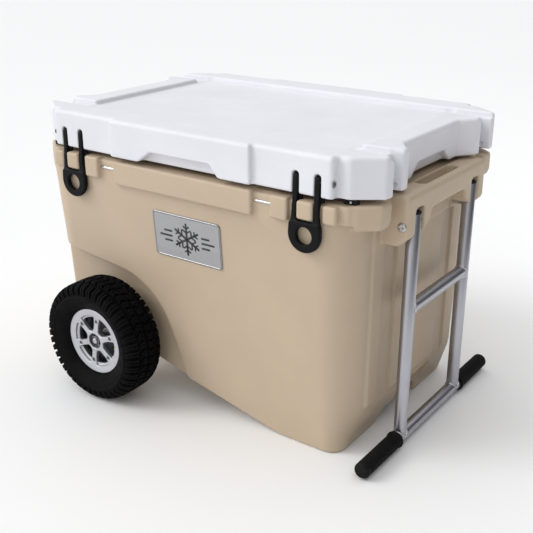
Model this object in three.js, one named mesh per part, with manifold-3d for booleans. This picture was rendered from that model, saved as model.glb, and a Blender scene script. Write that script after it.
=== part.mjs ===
// Wheeled hard cooler: a rotomoulded foam-filled tub and lid, two pneumatic
// tyres on a through axle, a swing-up tube handle and two stretch latches.
// Units are millimetres and +Z is up. +X is the handle end and -Y the latch side.
// The tub's own middle is x = 0 while the parts are made; the finished group
// is shifted so that its origin is the middle of the whole object's footprint.

import * as THREE from 'three';
import { mergeVertices } from 'three/addons/utils/BufferGeometryUtils.js';
import Module from 'manifold-3d';

const wasm = await Module();
wasm.setup();

// ---------------------------------------------------------------- dimensions

const GAP = 0.3;                 // between touching pieces
const LONG = 800;                // longer than anything it has to cut
const SKIN = 5;                  // wall of a moulded shell
const FINE = 28;                 // segments of a wheel
const ROUND = 16;                // segments of a tube
const COARSE = 12;               // segments of a pin or hole

const TYRE_RADIUS = 114.3;
const TYRE_WIDTH = 84;
const TYRE_MIDDLE = 268;         // from the centre line to the tyre's middle
const RIM_RADIUS = 63.3;
const RIM_HALF = 25;
const AXLE_X = -180.7;
const AXLE_RADIUS = 8;
const WELL_SIDE = 203;           // wall beside each wheel
const WELL_RADIUS = 128;         // arch over each wheel

const RIM_TOP = 451;             // top face of the tub
const LID_BOTTOM = 461;
const DECK = 517;                // flat middle of the lid
const LID_TOP = 525;
const MID_HALF = 149;            // half-length of the middle section
const MID_SIDE = 250;            // its half-width on the tub
const LATCH_SIDE = 234;          // half-width of the tub behind a latch
const KEEPER_SIDE = 250.5;       // front of the blocks beside a latch's arms
const LATCH_X = 248.5;
const LATCH_PIN_Y = -239.6;
const LATCH_PIN_Z = 483.8;
const HINGE_Y = 247;
const HINGE_Z = 456;

const BODY_LEFT = -343;
const BODY_RIGHT = 321;
const FLOOR_HIGH = 142;          // well floor over the axle
const FLOOR_LOW = 45;            // well floor at the drain
const ARCH_TOP = 30;             // underside between the two feet
const FOOT_START = 169;          // where the sloping belly reaches the ground
const BELLY_SLOPE = 0.2487;

const BRACKET_FRONT = 369.4;
const BRACKET_HALF = 145;
const PIVOT_X = 359;
const PIVOT_Z = 405;
const LEG_Y = 105;
const TUBE_RADIUS = 11.1;
const TUBE_BORE = 9.5;
const CROSS_Z = 254;
const GRIP_Z = 16.8;
const GRIP_START = 120;
const GRIP_END = 238;
const GRIP_RADIUS = 14;
const GRIP_FLANGE = 15.6;
const SLOT_INNER = 89;
const SLOT_OUTER = 119;

const DRAIN_Y = -8;
const DRAIN_Z = 50;
const DRAIN_FACE = 300;          // floor of the drain recess

const LID_HALF = 360;
const CENTRE_X = (PIVOT_X + GRIP_FLANGE - LID_HALF) / 2;

// ---------------------------------------------------------------- materials

const finish = (color, roughness, metalness = 0) => () =>
  new THREE.MeshStandardMaterial({ color, roughness, metalness });

const tan = finish(0xc4b394, 0.6);
const white = finish(0xe4e4ea, 0.5);
const foam = finish(0xf0e2b8, 0.95);
const rubber = finish(0x1b1b1d, 0.85);
const tyreRubber = finish(0x161616, 0.9);
const plastic = finish(0x202022, 0.6);
const satin = finish(0xc3c4cc, 0.35, 1);
const steel = finish(0xb4b5b8, 0.3, 1);
const zinc = finish(0x8e9094, 0.45, 1);
const alloy = finish(0xcdced2, 0.4, 1);
const brass = finish(0xc9a24a, 0.35, 1);

// ---------------------------------------------------------------- solids

function solid(geometry) {
  const bare = geometry.clone();
  bare.deleteAttribute('normal');
  bare.deleteAttribute('uv');
  const merged = mergeVertices(bare, 1e-4);
  return new wasm.Manifold(new wasm.Mesh({
    numProp: 3,
    vertProperties: new Float32Array(merged.attributes.position.array),
    triVerts: new Uint32Array(merged.index.array),
  }));
}

function geometryOf(manifold) {
  const mesh = manifold.getMesh();
  const geometry = new THREE.BufferGeometry();
  geometry.setAttribute('position', new THREE.BufferAttribute(new Float32Array(mesh.vertProperties), 3));
  geometry.setIndex(new THREE.BufferAttribute(new Uint32Array(mesh.triVerts), 1));
  return geometry;
}

function join(...pieces) {
  return pieces.reduce((all, piece) => all.add(piece));
}

function cut(body, ...tools) {
  return tools.reduce((left, tool) => left.subtract(tool), body);
}

function box(x0, x1, y0, y1, z0, z1) {
  const geometry = new THREE.BoxGeometry(x1 - x0, y1 - y0, z1 - z0);
  geometry.translate((x0 + x1) / 2, (y0 + y1) / 2, (z0 + z1) / 2);
  return solid(geometry);
}

const TO_AXIS = {
  // where a shape's own x, y and depth go
  x: new THREE.Matrix4().makeBasis(
    new THREE.Vector3(0, 1, 0), new THREE.Vector3(0, 0, 1), new THREE.Vector3(1, 0, 0)),
  y: new THREE.Matrix4().makeBasis(
    new THREE.Vector3(1, 0, 0), new THREE.Vector3(0, 0, 1), new THREE.Vector3(0, -1, 0)),
  z: new THREE.Matrix4(),
};

// A flat outline extruded along an axis from one coordinate to another.
// Along x the outline is (y, z), along y it is (x, z), along z it is (x, y).
function prism(axis, outline, from, to) {
  const shape = outline instanceof THREE.Shape
    ? outline
    : new THREE.Shape(outline.map(([u, v]) => new THREE.Vector2(u, v)));
  const options = { depth: to - from, bevelEnabled: false, curveSegments: 4 };
  const geometry = new THREE.ExtrudeGeometry(shape, options);
  geometry.applyMatrix4(TO_AXIS[axis]);
  const start = axis === 'y' ? to : from;
  geometry.translate(axis === 'x' ? start : 0, axis === 'y' ? start : 0, axis === 'z' ? start : 0);
  return solid(geometry);
}

function rounded(x0, x1, y0, y1, radius) {
  const shape = new THREE.Shape();
  shape.moveTo(x0 + radius, y0);
  shape.absarc(x1 - radius, y0 + radius, radius, -Math.PI / 2, 0, false);
  shape.absarc(x1 - radius, y1 - radius, radius, 0, Math.PI / 2, false);
  shape.absarc(x0 + radius, y1 - radius, radius, Math.PI / 2, Math.PI, false);
  shape.absarc(x0 + radius, y0 + radius, radius, Math.PI, Math.PI * 1.5, false);
  return shape;
}

// A round bar along an axis, centred on the other two coordinates.
function bar(axis, radius, from, to, u, v, segments = COARSE) {
  const geometry = new THREE.CylinderGeometry(radius, radius, to - from, segments);
  const middle = (from + to) / 2;
  if (axis === 'x') {
    geometry.rotateZ(-Math.PI / 2);
    geometry.translate(middle, u, v);
  } else if (axis === 'y') {
    geometry.translate(u, middle, v);
  } else {
    geometry.rotateX(Math.PI / 2);
    geometry.translate(u, v, middle);
  }
  return solid(geometry);
}

function tube(axis, radius, bore, from, to, u, v, segments = COARSE) {
  const outside = bar(axis, radius, from, to, u, v, segments);
  return outside.subtract(bar(axis, bore, from - 1, to + 1, u, v, segments));
}

// A turned piece about a line along y: the profile is (radius, distance out)
// and side is -1 or 1, so that "out" is always away from the centre line.
function turned(profile, side, x, z, segments = FINE) {
  const points = profile.map(([radius, out]) => new THREE.Vector2(radius, out * side));
  if (side < 0) points.reverse();
  const geometry = new THREE.LatheGeometry(points, segments);
  geometry.translate(x, 0, z);
  return solid(geometry);
}

// Rounded rectangles stacked along z and skinned into one closed body.
function loft(sections) {
  const arc = 4;
  const rings = sections.map(({ z, x0, x1, half, radius }) => {
    const corners = [[x1 - radius, -half + radius], [x1 - radius, half - radius],
      [x0 + radius, half - radius], [x0 + radius, -half + radius]];
    return corners.flatMap(([cx, cy], quarter) =>
      Array.from({ length: arc + 1 }, (_, step) => {
        const angle = (quarter - 1 + step / arc) * Math.PI / 2;
        return [cx + radius * Math.cos(angle), cy + radius * Math.sin(angle), z];
      }));
  });
  const count = rings[0].length;
  const index = [];
  for (let level = 0; level < rings.length - 1; level += 1) {
    for (let i = 0; i < count; i += 1) {
      const a = level * count + i;
      const b = level * count + (i + 1) % count;
      index.push(a, b, b + count, a, b + count, a + count);
    }
  }
  const top = (rings.length - 1) * count;
  for (let i = 1; i < count - 1; i += 1) {
    index.push(0, i + 1, i);
    index.push(top, top + i, top + i + 1);
  }
  const geometry = new THREE.BufferGeometry();
  geometry.setAttribute('position', new THREE.Float32BufferAttribute(rings.flat(2), 3));
  geometry.setIndex(index);
  return solid(geometry);
}

// ---------------------------------------------------------------- assembly

const cooler = new THREE.Group();
cooler.position.x = -CENTRE_X;

function add(name, manifold, material) {
  const mesh = new THREE.Mesh(geometryOf(manifold), material());
  mesh.name = name;
  cooler.add(mesh);
}

const SIDES = [['front', -1], ['back', 1]];
const ENDS = [['left', -1], ['right', 1]];

// ---------------------------------------------------------------- tub

// Outside of the tub below its rim, drawn in by inset all round.
function tubOutside(inset, top) {
  const levels = [
    { z: 0, x0: -325, x1: 293, half: 204, radius: 28 },
    { z: 70, x0: -336, x1: 318, half: 212, radius: 58 },
    { z: 411, x0: BODY_LEFT, x1: BODY_RIGHT, half: 241, radius: 62 },
    { z: 440, x0: BODY_LEFT, x1: BODY_RIGHT, half: 241, radius: 62 },
  ];
  return loft(levels.map((level, i) => ({
    z: i === 0 ? level.z + inset : (i === 3 ? top : level.z),
    x0: level.x0 + inset,
    x1: level.x1 - inset,
    half: level.half - inset,
    radius: level.radius - inset,
  })));
}

// Food well, grown by the wall thickness where a cavity has to clear it.
function foodWell(grow) {
  const hollow = loft([
    { z: FLOOR_LOW - 3 - grow, x0: -270 - grow, x1: 250 + grow, half: 160 + grow, radius: 34 + grow },
    { z: RIM_TOP + 20, x0: -286 - grow, x1: 264 + grow, half: 187 + grow, radius: 45 + grow },
  ]);
  const floor = prism('y', [
    [-LONG, FLOOR_HIGH - grow], [-110, FLOOR_HIGH - grow], [60, FLOOR_LOW - grow],
    [LONG, FLOOR_LOW - grow], [LONG, -LONG], [-LONG, -LONG],
  ], -LONG, LONG);
  return hollow.subtract(floor);
}

// Everything under the sloping belly and between the feet.
function underBelly(grow) {
  const height = (x) => (FOOT_START - x) * BELLY_SLOPE + grow;
  const slope = prism('y', [[-420, -60], [-420, height(-420)], [400, height(400)], [400, -60]], -LONG, LONG);
  const arch = prism('x', [
    [-84 - grow, -20], [-63 - grow, ARCH_TOP + grow], [63 + grow, ARCH_TOP + grow],
    [84 + grow, -20], [90, -40], [-90, -40],
  ], 150 - grow, LONG);
  return slope.add(arch);
}

function wheelWell(side, grow) {
  const outline = [[-420, -30], [-420, 258 + grow], [-285, 256 + grow]];
  const radius = WELL_RADIUS + grow;
  for (let degrees = 90; degrees >= 15; degrees -= 15) {
    const angle = THREE.MathUtils.degToRad(degrees);
    outline.push([AXLE_X + radius * Math.cos(angle), TYRE_RADIUS + radius * Math.sin(angle)]);
  }
  outline.push([-31 + grow, 63], [-8 + grow, -30]);
  const wall = WELL_SIDE - grow;
  return side < 0 ? prism('y', outline, -LONG, -wall) : prism('y', outline, wall, LONG);
}

function drainRecess(grow) {
  return box(DRAIN_FACE - grow, LONG, -27 - grow, 92 + grow, 17 - grow, 65 + grow);
}

// Moulded bracket that carries the pull handle, with a hand hole behind its bar.
function handleBracket() {
  const profile = [[300, 360], [310, 370], [351, 370], [BRACKET_FRONT, 387],
    [BRACKET_FRONT, 448], [363, 455], [336, 455], [330, RIM_TOP], [300, RIM_TOP]];
  let bracket = prism('y', profile, -BRACKET_HALF, BRACKET_HALF);
  const opening = [[-63, 418], [63, 418], [68, 399], [SLOT_INNER + 1, 385], [SLOT_INNER + 1, 350],
    [-SLOT_INNER - 1, 350], [-SLOT_INNER - 1, 385], [-68, 399]];
  bracket = cut(bracket, prism('x', opening, 331, 380), box(333, 353, -66, 66, 410, 460));
  for (const [, side] of SIDES) {
    const inner = Math.min(side * SLOT_INNER, side * SLOT_OUTER);
    const outer = Math.max(side * SLOT_INNER, side * SLOT_OUTER);
    bracket = cut(bracket, box(335, 380, inner, outer, 350, 429));
  }
  return bracket;
}

function tubRim() {
  const corner = [[300, LATCH_SIDE - 2], [313, LATCH_SIDE - 2], [353, 199], [353, 173], [336, 173], [300, 173]];
  const band = [[MID_HALF - 5, LATCH_SIDE], [313, LATCH_SIDE], [353, 199], [353, 173], [336, 173],
    [336, 147], [336, 0], [MID_HALF - 5, 0]];
  const pieces = [box(-MID_HALF, MID_HALF, -MID_SIDE, MID_SIDE, 411, RIM_TOP)];
  for (const [, end] of ENDS) {
    for (const [, side] of SIDES) {
      const turn = ([x, y]) => [x * end, y * side];
      pieces.push(prism('z', band.map(turn), 421, RIM_TOP));
      pieces.push(prism('z', corner.map(turn), 403, 449));
    }
    const near = LATCH_X - 14.5;
    const central = end > 0 ? [near, near + 28.5] : [-near - 28.5, -near];
    const beside = end > 0 ? [185, 217] : [-217, -185];
    pieces.push(box(...central, -KEEPER_SIDE, -LATCH_SIDE + 5, 423, RIM_TOP));
    pieces.push(box(...beside, -KEEPER_SIDE, -LATCH_SIDE + 5, 415, RIM_TOP));
  }
  return join(...pieces);
}

// Lifting lip at the wheel end.
function grabLip() {
  const profile = [[-300, 392], [-334, 392], [-346, 398], [-356, 412], [-356, 446], [-350, RIM_TOP], [-300, RIM_TOP]];
  const lip = prism('y', profile, -145, 145);
  return lip.subtract(box(-352, -342, -60, 60, 380, 440));
}

const HINGES = [-1, 1].map((end) => ({
  tub: [[168, 192], [253, 277]].map(([a, b]) => (end > 0 ? [a, b] : [-b, -a])),
  lid: end > 0 ? [193, 252] : [-252, -193],
}));

function hingeEar(x0, x1, down) {
  const round = bar('x', 7.5, x0, x1, HINGE_Y, HINGE_Z);
  const web = down
    ? box(x0, x1, LATCH_SIDE - 4, HINGE_Y + 7, 428, HINGE_Z)
    : box(x0, x1, HINGE_Y - 7, HINGE_Y + 7, HINGE_Z, 482);
  return round.add(web);
}

function tubShell() {
  const cavity = foamFill(0);
  let shell = join(tubOutside(0, 440), tubRim(), handleBracket(), grabLip());
  for (const hinge of HINGES) {
    for (const [x0, x1] of hinge.tub) shell = shell.add(hingeEar(x0, x1, true));
  }
  shell = cut(shell, underBelly(0), wheelWell(-1, 0), wheelWell(1, 0), drainRecess(0), cavity, foodWell(0));
  shell = cut(
    shell,
    bar('y', AXLE_RADIUS + GAP, -LONG, LONG, AXLE_X, TYRE_RADIUS),
    bar('x', 7.8, 240, DRAIN_FACE + 1, DRAIN_Y, DRAIN_Z),
    bar('z', 14.3, ARCH_TOP - 2, ARCH_TOP + 6.5, 230, 0),
  );
  for (const [, side] of SIDES) {
    const [from, to] = side < 0 ? [-150, -78] : [78, 150];
    shell = shell.subtract(bar('y', 4.3, from, to, PIVOT_X, PIVOT_Z));
  }
  for (const [, end] of ENDS) {
    const [from, to] = end > 0 ? [140, 195] : [-195, -140];
    shell = shell.subtract(bar('x', 2.8, from, to, -241, 435));
    const [low, high] = end > 0 ? [160, 290] : [-290, -160];
    shell = shell.subtract(bar('x', 4.3, low, high, HINGE_Y, HINGE_Z));
  }
  return shell;
}

// The space between the tub's two skins, drawn in by a further gap for the foam.
function foamFill(gap) {
  const wall = SKIN + gap;
  let fill = tubOutside(wall, 436 - gap);
  fill = cut(
    fill,
    foodWell(wall),
    underBelly(wall),
    wheelWell(-1, wall),
    wheelWell(1, wall),
    drainRecess(wall),
    bar('y', AXLE_RADIUS + wall, -LONG, LONG, AXLE_X, TYRE_RADIUS),
    bar('x', 7.8 + wall, 230, LONG, DRAIN_Y, DRAIN_Z),
  );
  for (const [, end] of ENDS) {
    const [low, high] = end > 0 ? [135, 200] : [-200, -135];
    fill = fill.subtract(box(low, high, -260, -233 + wall, 425, 445));
  }
  return fill;
}

add('tub_shell', tubShell(), tan);
add('tub_foam', foamFill(GAP), foam);
add('tub_foam_plug', join(
  bar('z', 14, ARCH_TOP + 0.2, ARCH_TOP + 3, 230, 0),
  bar('z', 12, ARCH_TOP + 3 - 0.01, ARCH_TOP + 4.9, 230, 0),
), plastic);

const drainFlange = tube('x', 11, 5.6, 244, 249.5, DRAIN_Y, DRAIN_Z);
add('drain_tube', join(
  tube('x', 7.5, 5.6, 249, DRAIN_FACE - 0.2, DRAIN_Y, DRAIN_Z),
  drainFlange.subtract(box(200, 260, -60, 60, 0, FLOOR_LOW + GAP)),
), plastic);

for (const [name, end] of ENDS) {
  const [from, to] = end > 0 ? [141.5, 193.5] : [-193.5, -141.5];
  add(`tie_bar_${name}`, bar('x', 2.5, from, to, -241, 435), steel);
  const [low, high] = end > 0 ? [165, 280] : [-280, -165];
  add(`hinge_pin_${name}`, bar('x', 4, low, high, HINGE_Y, HINGE_Z), steel);
}

// Rubber stops on the four corners of the rim, which keep the lid level.
for (const [end_name, end] of ENDS) {
  for (const [name, side] of SIDES) {
    const x = 311 * end;
    const y = 219 * side;
    add(`lid_stop_${name}_${end_name}`, box(x - 11, x + 11, y - 6, y + 6, RIM_TOP + GAP, LID_BOTTOM - GAP), rubber);
  }
}

// Name plate, leaning with the draft of the front wall.
const PLATE_LENGTH = 147;
const PLATE_HEIGHT = 82;
const plateShape = rounded(-PLATE_LENGTH / 2, PLATE_LENGTH / 2, -PLATE_HEIGHT / 2, PLATE_HEIGHT / 2, 6);
const plateGeometry = new THREE.ExtrudeGeometry(plateShape, { depth: 2, bevelEnabled: false, curveSegments: 4 });
plateGeometry.rotateX(Math.PI / 2 + Math.atan2(29, 341));
plateGeometry.translate(5, -235.1, 337);
add('name_plate', solid(plateGeometry), satin);

// ---------------------------------------------------------------- axle

// A bar on the axle's line on one side, from near the centre line outwards.
function hubBar(side, radius, near, far, segments) {
  const [from, to] = [near * side, far * side].sort((a, b) => a - b);
  return bar('y', radius, from, to, AXLE_X, TYRE_RADIUS, segments);
}

add('axle', bar('y', AXLE_RADIUS, -291, 291, AXLE_X, TYRE_RADIUS, ROUND), steel);
for (const [name, side] of SIDES) {
  const hole = hubBar(side, AXLE_RADIUS + GAP, WELL_SIDE, 300, ROUND);
  add(`axle_spacer_${name}`, hubBar(side, 12, WELL_SIDE + GAP, 249.7, ROUND).subtract(hole), zinc);
  add(`axle_washer_${name}`, hubBar(side, 14, 281.3, 283.3, ROUND).subtract(hole), zinc);
  add(`axle_nut_${name}`, hubBar(side, 13, 283.6, 292, 6).subtract(hole), zinc);
}

// ---------------------------------------------------------------- lid

const END_NOTCH = [[357, 197], [360, 179], [336, 179], [336, 147], [356, 143], [356, 129], [333, 98]];

function lidOutline() {
  const quarter = [[MID_HALF, 253], [MID_HALF, 245], [294, 245], [294, 230], [313, 230], ...END_NOTCH];
  const around = [
    ...quarter.map(([x, y]) => [x, -y]),
    ...[...quarter].reverse(),
    ...quarter.map(([x, y]) => [-x, y]),
    ...[...quarter].reverse().map(([x, y]) => [-x, -y]),
  ];
  return around;
}

function lidPlug(inset, bottom) {
  return loft([
    { z: bottom, x0: -279 + inset, x1: 257 - inset, half: 180 - inset, radius: 40 - inset },
    { z: LID_BOTTOM + 8, x0: -281 + inset, x1: 259 - inset, half: 182 - inset, radius: 42 - inset },
  ]);
}

function lidFill(gap) {
  const wall = SKIN + gap;
  const upper = prism('z', rounded(-312 - SKIN + wall, 312 + SKIN - wall, -221 - SKIN + wall, 221 + SKIN - wall, 30),
    LID_BOTTOM + wall, DECK - wall);
  return upper.add(lidPlug(wall, 446 + wall));
}

function latchSlots(end) {
  const near = LATCH_X - 25.5;
  return [0, 39].map((step) => {
    const x0 = end > 0 ? near + step : -near - step - 12;
    return box(x0, x0 + 12, -260, -227.5, 450, 496);
  });
}

function lidShell() {
  const outline = lidOutline();
  let shell = prism('z', outline, LID_BOTTOM, LID_TOP);
  const middle = box(-285, 285, -183, 183, DECK, LID_TOP + 5);
  shell = shell.subtract(middle);
  for (const [, end] of ENDS) {
    for (const [, side] of SIDES) {
      const [x0, x1] = end > 0 ? [280, 380] : [-380, -280];
      const [y0, y1] = side > 0 ? [147, 183] : [-183, -147];
      shell = shell.subtract(box(x0, x1, y0, y1, DECK, LID_TOP + 5));
    }
  }
  shell = shell.add(lidPlug(0, 446));
  const frontScoop = [[-87, 455], [-85, LID_BOTTOM], [-57, 481], [69, 481], [86, LID_BOTTOM], [88, 455]];
  shell = shell.subtract(prism('y', frontScoop, -270, -237));
  const endScoop = [[-74, 455], [-70, LID_BOTTOM], [-49, 482], [49, 482], [70, LID_BOTTOM], [74, 455]];
  shell = cut(shell, prism('x', endScoop, 320, 380), prism('x', endScoop, -380, -320));
  for (const [, end] of ENDS) {
    shell = cut(shell, ...latchSlots(end));
    const [from, to] = end > 0 ? [200, 293.7] : [-293.7, -200];
    const [mouth, face] = end > 0 ? [293, 300] : [-300, -293];
    shell = cut(
      shell,
      bar('x', 3.3, from, to + 1, LATCH_PIN_Y, LATCH_PIN_Z),
      bar('x', 5.3, mouth, face, LATCH_PIN_Y, LATCH_PIN_Z),
    );
    const [a, b] = end > 0 ? [342.4, 347.6] : [-347.6, -342.4];
    for (const [, side] of SIDES) {
      const [y0, y1] = side > 0 ? [138, 189] : [-189, -138];
      shell = shell.subtract(bar('y', 2.8, y0, y1, (a + b) / 2, 471));
    }
  }
  for (const hinge of HINGES) {
    for (const [x0, x1] of hinge.tub) {
      shell = cut(shell, bar('x', 9, x0 - 1.5, x1 + 1.5, HINGE_Y, HINGE_Z), box(x0 - 1.5, x1 + 1.5, 239, 256, 450, 457));
    }
    shell = shell.add(hingeEar(...hinge.lid, false));
    shell = shell.subtract(bar('x', 4.3, hinge.lid[0] - 1, hinge.lid[1] + 1, HINGE_Y, HINGE_Z));
  }
  return cut(shell, lidFill(0), bar('z', 14.3, 444, 452, -11, 0));
}

add('lid_shell', lidShell(), white);
add('lid_foam', lidFill(GAP), foam);
add('lid_foam_plug', bar('z', 14, 446.2, 450.9, -11, 0), plastic);

const ring = (x0, x1, half, radius, z0, z1) => prism('z', rounded(x0, x1, -half, half, radius), z0, z1);
add('lid_gasket', ring(-318, 300, 215, 50, RIM_TOP + GAP, LID_BOTTOM - GAP)
  .subtract(ring(-306, 288, 203, 38, RIM_TOP - 5, LID_BOTTOM + 5)), rubber);

for (const [name, end] of ENDS) {
  const low = LATCH_X - 44;
  const [from, to] = end > 0 ? [low, 293.4] : [-293.4, -low];
  const [head, face] = end > 0 ? [293.3, 296] : [-296, -293.3];
  add(`latch_pin_${name}`, join(
    bar('x', 3, from, to, LATCH_PIN_Y, LATCH_PIN_Z),
    bar('x', 5, head, face, LATCH_PIN_Y, LATCH_PIN_Z),
  ), steel);
  for (const [side_name, side] of SIDES) {
    const [y0, y1] = side > 0 ? [139, 188] : [-188, -139];
    add(`corner_pin_${side_name}_${name}`, bar('y', 2.5, y0, y1, 345 * end, 471), steel);
  }
}

// ---------------------------------------------------------------- latches

// A moulded stretch latch: two arms on the pin, and a tab with a finger hole
// whose upper edge hooks under the middle keeper block of the rim.
function latch() {
  const arm = [[-245, 491], [-242, 492], [-236, 492], [-233, 488], [-233, 478], [-241, 440],
    [-242.8, 412], [-242.8, 396], [-248, 396], [-248, 440], [-246.5, 460]];
  const middle = LATCH_X;
  const left = prism('x', arm, middle - 23.5, middle - 15);
  const right = prism('x', arm, middle + 15, middle + 23.5);
  const tab = new THREE.Shape();
  tab.moveTo(middle - 28.5, 412);
  tab.absarc(middle, 400, 28.5, Math.PI, 2 * Math.PI, false);
  tab.lineTo(middle + 28.5, 412);
  tab.lineTo(middle + 23.5, 438);
  tab.lineTo(middle + 15, 438);
  tab.lineTo(middle + 15, 420);
  tab.lineTo(middle - 15, 420);
  tab.lineTo(middle - 15, 438);
  tab.lineTo(middle - 23.5, 438);
  const plate = prism('y', tab, -251, -243.5);
  const hole = bar('y', 14, -260, -230, middle, 398, ROUND);
  const whole = left.add(right).add(plate);
  return whole.subtract(hole).subtract(bar('x', 3.4, 200, 300, LATCH_PIN_Y, LATCH_PIN_Z));
}

add('latch_right', latch(), rubber);
add('latch_left', latch().mirror([1, 0, 0]), rubber);

// ---------------------------------------------------------------- handle

// A bar across the handle on one side, from near the centre line outwards.
function crossBar(side, radius, near, far, z, segments) {
  const [from, to] = [near * side, far * side].sort((a, b) => a - b);
  return bar('y', radius, from, to, PIVOT_X, z, segments);
}

for (const [name, side] of SIDES) {
  const y = LEG_Y * side;
  const leg = cut(
    tube('z', TUBE_RADIUS, TUBE_BORE, GRIP_Z + TUBE_RADIUS + 0.5, PIVOT_Z + 13, PIVOT_X, y, ROUND),
    bar('y', 6.8, y - 20, y + 20, PIVOT_X, PIVOT_Z),
  );
  add(`handle_leg_${name}`, leg, satin);
  add(`leg_plug_${name}`, join(
    bar('z', TUBE_RADIUS, PIVOT_Z + 13.3, PIVOT_Z + 16, PIVOT_X, y, ROUND),
    bar('z', TUBE_BORE - GAP, PIVOT_Z + 8, PIVOT_Z + 13.4, PIVOT_X, y, ROUND),
  ), plastic);
  add(`pivot_bush_${name}`, crossBar(side, 6.5, SLOT_INNER + 0.6, SLOT_OUTER - 0.6, PIVOT_Z, COARSE)
    .subtract(crossBar(side, 4.5, SLOT_INNER - 5, SLOT_OUTER + 5, PIVOT_Z, COARSE)), plastic);
  add(`pivot_bolt_${name}`, join(
    crossBar(side, 4, 79, BRACKET_HALF + 1, PIVOT_Z, COARSE),
    crossBar(side, 8, BRACKET_HALF + GAP, BRACKET_HALF + 3.5, PIVOT_Z, COARSE),
  ), steel);
  add(`grip_${name}`, join(
    crossBar(side, GRIP_RADIUS, GRIP_START, GRIP_END, GRIP_Z, ROUND),
    crossBar(side, GRIP_FLANGE, GRIP_START, GRIP_START + 5, GRIP_Z, ROUND),
  ).subtract(crossBar(side, TUBE_RADIUS + GAP, GRIP_START - 1, GRIP_END - 4, GRIP_Z, ROUND)), rubber);
}
add('handle_cross_tube', tube('y', TUBE_RADIUS, TUBE_BORE, -LEG_Y + TUBE_RADIUS + 0.5, LEG_Y - TUBE_RADIUS - 0.5,
  PIVOT_X, CROSS_Z, ROUND), satin);
add('handle_grip_tube', tube('y', TUBE_RADIUS, TUBE_BORE, -GRIP_END + 4.5, GRIP_END - 4.5, PIVOT_X, GRIP_Z, ROUND), satin);

// ---------------------------------------------------------------- wheels

const inTyre = (y) => y + TYRE_MIDDLE;

// The carcass of a tyre: a thick rounded casing that is open at its rim.
function tyre(side) {
  const half = TYRE_WIDTH / 2;
  const outside = [
    [60.2, 19.2], [63.9, 22.4], [63.9, 26], [77, 37], [88, half], [100, half - 2], [109, 33], [TYRE_RADIUS, 18],
  ];
  const inside = [[103.5, 14], [97, 26], [84, 28], [70, 18], [60.2, 13]];
  const flip = ([radius, y]) => [radius, -y];
  const profile = [
    ...outside.map(flip), ...[...outside].reverse(), ...[...inside].reverse(), ...inside.map(flip), flip(outside[0]),
  ];
  return turned(profile.map(([radius, y]) => [radius, inTyre(y)]), side, AXLE_X, TYRE_RADIUS);
}

function innerTube(side) {
  const circle = (radius, segments) => Array.from({ length: segments + 1 }, (_, i) => {
    const angle = i / segments * Math.PI * 2;
    return [82 + radius * 1.05 * Math.cos(angle), inTyre(radius * 1.15 * Math.sin(angle))];
  });
  const outside = turned(circle(17.5, 8), side, AXLE_X, TYRE_RADIUS, 20);
  const inside = turned(circle(15.5, 8), side, AXLE_X, TYRE_RADIUS, 20);
  const y = TYRE_MIDDLE * side;
  const valveHole = bar('z', 2.5, TYRE_RADIUS - 72, TYRE_RADIUS - 58, AXLE_X, y, 8);
  return outside.subtract(inside).subtract(valveHole);
}

// Both rim halves meet in the middle of the tyre; the outer one is the spoked face.
function rimOuter(side) {
  const half = RIM_HALF;
  const blank = turned([
    [14.3, inTyre(0.2)], [59.6, inTyre(0.2)], [59.6, inTyre(half - 5)], [RIM_RADIUS, inTyre(half - 2)],
    [RIM_RADIUS, inTyre(half)], [57, inTyre(half)], [50, inTyre(half - 8)], [18, inTyre(half - 10)],
    [14.3, inTyre(half - 10)], [14.3, inTyre(0.2)],
  ], side, AXLE_X, TYRE_RADIUS);
  let rim = blank.subtract(turned([
    [0, inTyre(0)], [56, inTyre(-1)], [54, inTyre(half - 13)], [18, inTyre(half - 16)], [0, inTyre(half - 16)],
  ].map(([r, y]) => [r, y]), side, AXLE_X, TYRE_RADIUS));
  for (let spoke = 0; spoke < 6; spoke += 1) {
    const window = new THREE.Shape();
    const start = spoke * Math.PI / 3;
    window.moveTo(21 * Math.cos(start + 0.36), 21 * Math.sin(start + 0.36));
    window.absarc(0, 0, 49, start + 0.17, start + Math.PI / 3 - 0.17, false);
    window.lineTo(21 * Math.cos(start + Math.PI / 3 - 0.36), 21 * Math.sin(start + Math.PI / 3 - 0.36));
    const placed = new THREE.ExtrudeGeometry(window, { depth: 60, bevelEnabled: false, curveSegments: 4 });
    placed.applyMatrix4(TO_AXIS.y);
    placed.translate(AXLE_X, side < 0 ? -250 : 310, TYRE_RADIUS);
    rim = rim.subtract(solid(placed));
  }
  return rim;
}

function rimInner(side) {
  const half = RIM_HALF;
  return turned([
    [14.3, inTyre(-half + 6)], [50, inTyre(-half + 6)], [57, inTyre(-half)], [RIM_RADIUS, inTyre(-half)],
    [RIM_RADIUS, inTyre(-half + 2)], [59.6, inTyre(-half + 5)], [59.6, inTyre(-0.2)], [56, inTyre(-0.2)],
    [54, inTyre(-half + 12)], [14.3, inTyre(-half + 12)], [14.3, inTyre(-half + 6)],
  ], side, AXLE_X, TYRE_RADIUS);
}

function bearing(side, near, far) {
  return hubBar(side, 14, near, far, ROUND).subtract(hubBar(side, AXLE_RADIUS + GAP, near - 1, far + 1, ROUND));
}

for (const [name, side] of SIDES) {
  add(`tyre_${name}`, tyre(side), tyreRubber);
  add(`inner_tube_${name}`, innerTube(side), rubber);
  add(`rim_outer_${name}`, rimOuter(side), alloy);
  add(`rim_inner_${name}`, rimInner(side), alloy);
  add(`bearing_inner_${name}`, bearing(side, 250, 258), zinc);
  add(`bearing_outer_${name}`, bearing(side, 273, 281), zinc);
}

// ---------------------------------------------------------------- drain plug

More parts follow.
